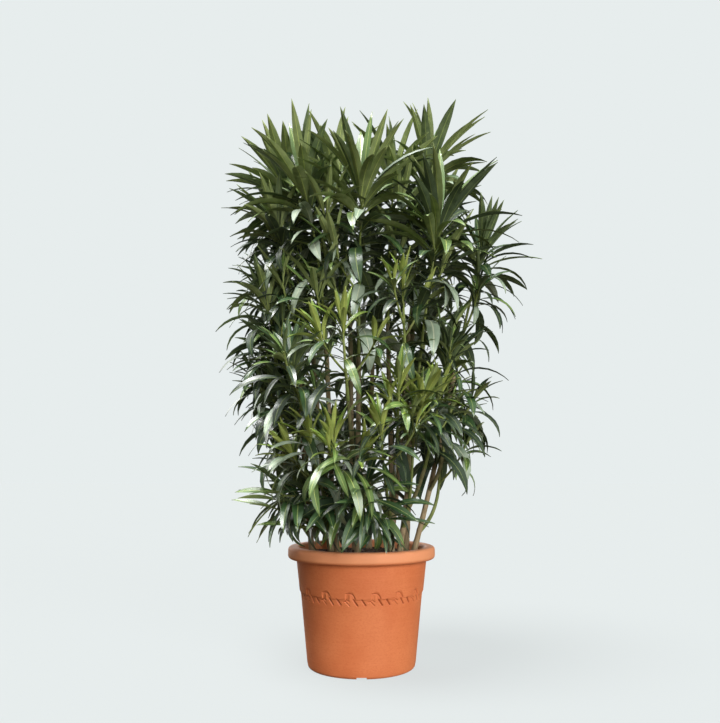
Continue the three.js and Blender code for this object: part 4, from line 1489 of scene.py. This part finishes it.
# %% Tints, and which leaf gets which
# Upper side with its light and dark, then rib with its light and underside with its light
TINTS = {
    "bottle": [
        (20, 37, 19), (33, 54, 30), (13, 25, 12),
        (96, 110, 62), (116, 128, 78), (50, 64, 38), (68, 82, 52),
    ],
    "mid": [
        (39, 66, 32), (54, 84, 44), (26, 47, 22),
        (118, 134, 74), (138, 152, 88), (72, 88, 52), (92, 106, 68),
    ],
    "olive": [
        (80, 106, 48), (96, 123, 60), (60, 86, 38),
        (152, 166, 88), (172, 184, 106), (106, 120, 68), (124, 136, 84),
    ],
    # Painted sheen: pale grey greens that stand in for the bright sheen of hanging leaves
    "silver": [
        (126, 146, 122), (158, 173, 152), (100, 120, 94),
        (172, 180, 146), (190, 197, 168), (128, 140, 112), (146, 156, 132),
    ],
    "young": [
        (90, 116, 40), (114, 142, 52), (74, 100, 34),
        (172, 182, 82), (190, 197, 98), (132, 146, 68), (150, 162, 84),
    ],
}
# Share of each tint in the top rings of a shoot, then in the rings below. The fourth
# tint is the painted sheen.
TINT_ODDS = {
    "crown": ([0.05, 0.25, 0.7, 0.0, 0.0], [0.42, 0.18, 0.04, 0.36, 0.0]),
    "outer": ([0.3, 0.45, 0.25, 0.0, 0.0], [0.48, 0.2, 0.04, 0.28, 0.0]),
    "side": ([0.2, 0.5, 0.3, 0.0, 0.0], [0.42, 0.2, 0.04, 0.34, 0.0]),
    "young": ([0.0, 0.1, 0.3, 0.0, 0.6], [0.44, 0.34, 0.06, 0.16, 0.0]),
    "tuft": ([0.0, 0.1, 0.3, 0.0, 0.6], [0.44, 0.34, 0.06, 0.16, 0.0]),
    "skirt": ([0.3, 0.5, 0.2, 0.0, 0.0], [0.35, 0.35, 0.05, 0.25, 0.0]),
}
LEAF_THICKNESS = 0.0008
# Width as a share of length in the lowest rings, and how much it varies
LOW_WIDTH, WIDTH_LEAST, WIDTH_RANGE = 0.175, 0.88, 0.3
TOP_FOLD, LOW_FOLD, FOLD_LEAST, FOLD_RANGE = 0.32, 0.12, 0.6, 0.8
TWIST_RANGE = 0.9
# Keeps a draw below the last limit of the odds
BELOW_ONE = 0.999
TINT_SEED = 4242

tint_names = list(TINTS)
dealt = {name: [] for name in tint_names}
deal = seeded(TINT_SEED)
for shoot in shoots:
    kind, odds_of = KINDS[shoot["kind"]], TINT_ODDS[shoot["kind"]]
    drawn_for = {}
    for leaf in shoot["kept"]:
        on_top = leaf["ring"] < kind["top_rings"]
        key = int(leaf["ring"] * 2)
        if key not in drawn_for:
            limits = np.cumsum(odds_of[0 if on_top else 1])
            drawn_for[key] = tint_names[int(np.searchsorted(limits, deal() * BELOW_ONE))]
        width = kind["top_width"] + (LOW_WIDTH - kind["top_width"]) * leaf["opened"]
        leaf["width"] = leaf["length"] * width * (WIDTH_LEAST + WIDTH_RANGE * deal())
        fold = TOP_FOLD if on_top else LOW_FOLD
        leaf["fold"] = fold * (FOLD_LEAST + FOLD_RANGE * deal())
        leaf["twist"] = (deal() - 0.5) * TWIST_RANGE
        dealt[drawn_for[key]].append(leaf)
print(", ".join(f"{len(leaves)} {name}" for name, leaves in dealt.items()))

# %% Leaf pieces, one for each tint
# What each leaf's foot carries for the arching tree, and its unit
CARRIED = {
    "ahead": 1, "across": 1, "face": 1, "length": MM, "width": MM,
    "bend": 1, "fold": 1, "twist": 1,
}
for name, leaves in dealt.items():
    colours = [paint(*c) for c in TINTS[name]]
    carried = {
        "leaf_" + label: [leaf[label] * unit_of for leaf in leaves]
        for label, unit_of in CARRIED.items()
    }
    feet = mesh_of("feet_" + name, [leaf["root"] for leaf in leaves], **carried)
    source = linked("feet_" + name, feet)
    piece = arch.run(
        source, "leaves_" + name, Leaf=leaf_source, Thickness=LEAF_THICKNESS,
        Upper=upper_finish(name + "_upper", *colours[:3]),
        Rib=rib_finish(name + "_rib", *colours[3:5]),
        Under=under_finish(name + "_under", *colours[5:]),
    )
    finished(piece, all_masses)
bpy.data.objects.remove(leaf_source)
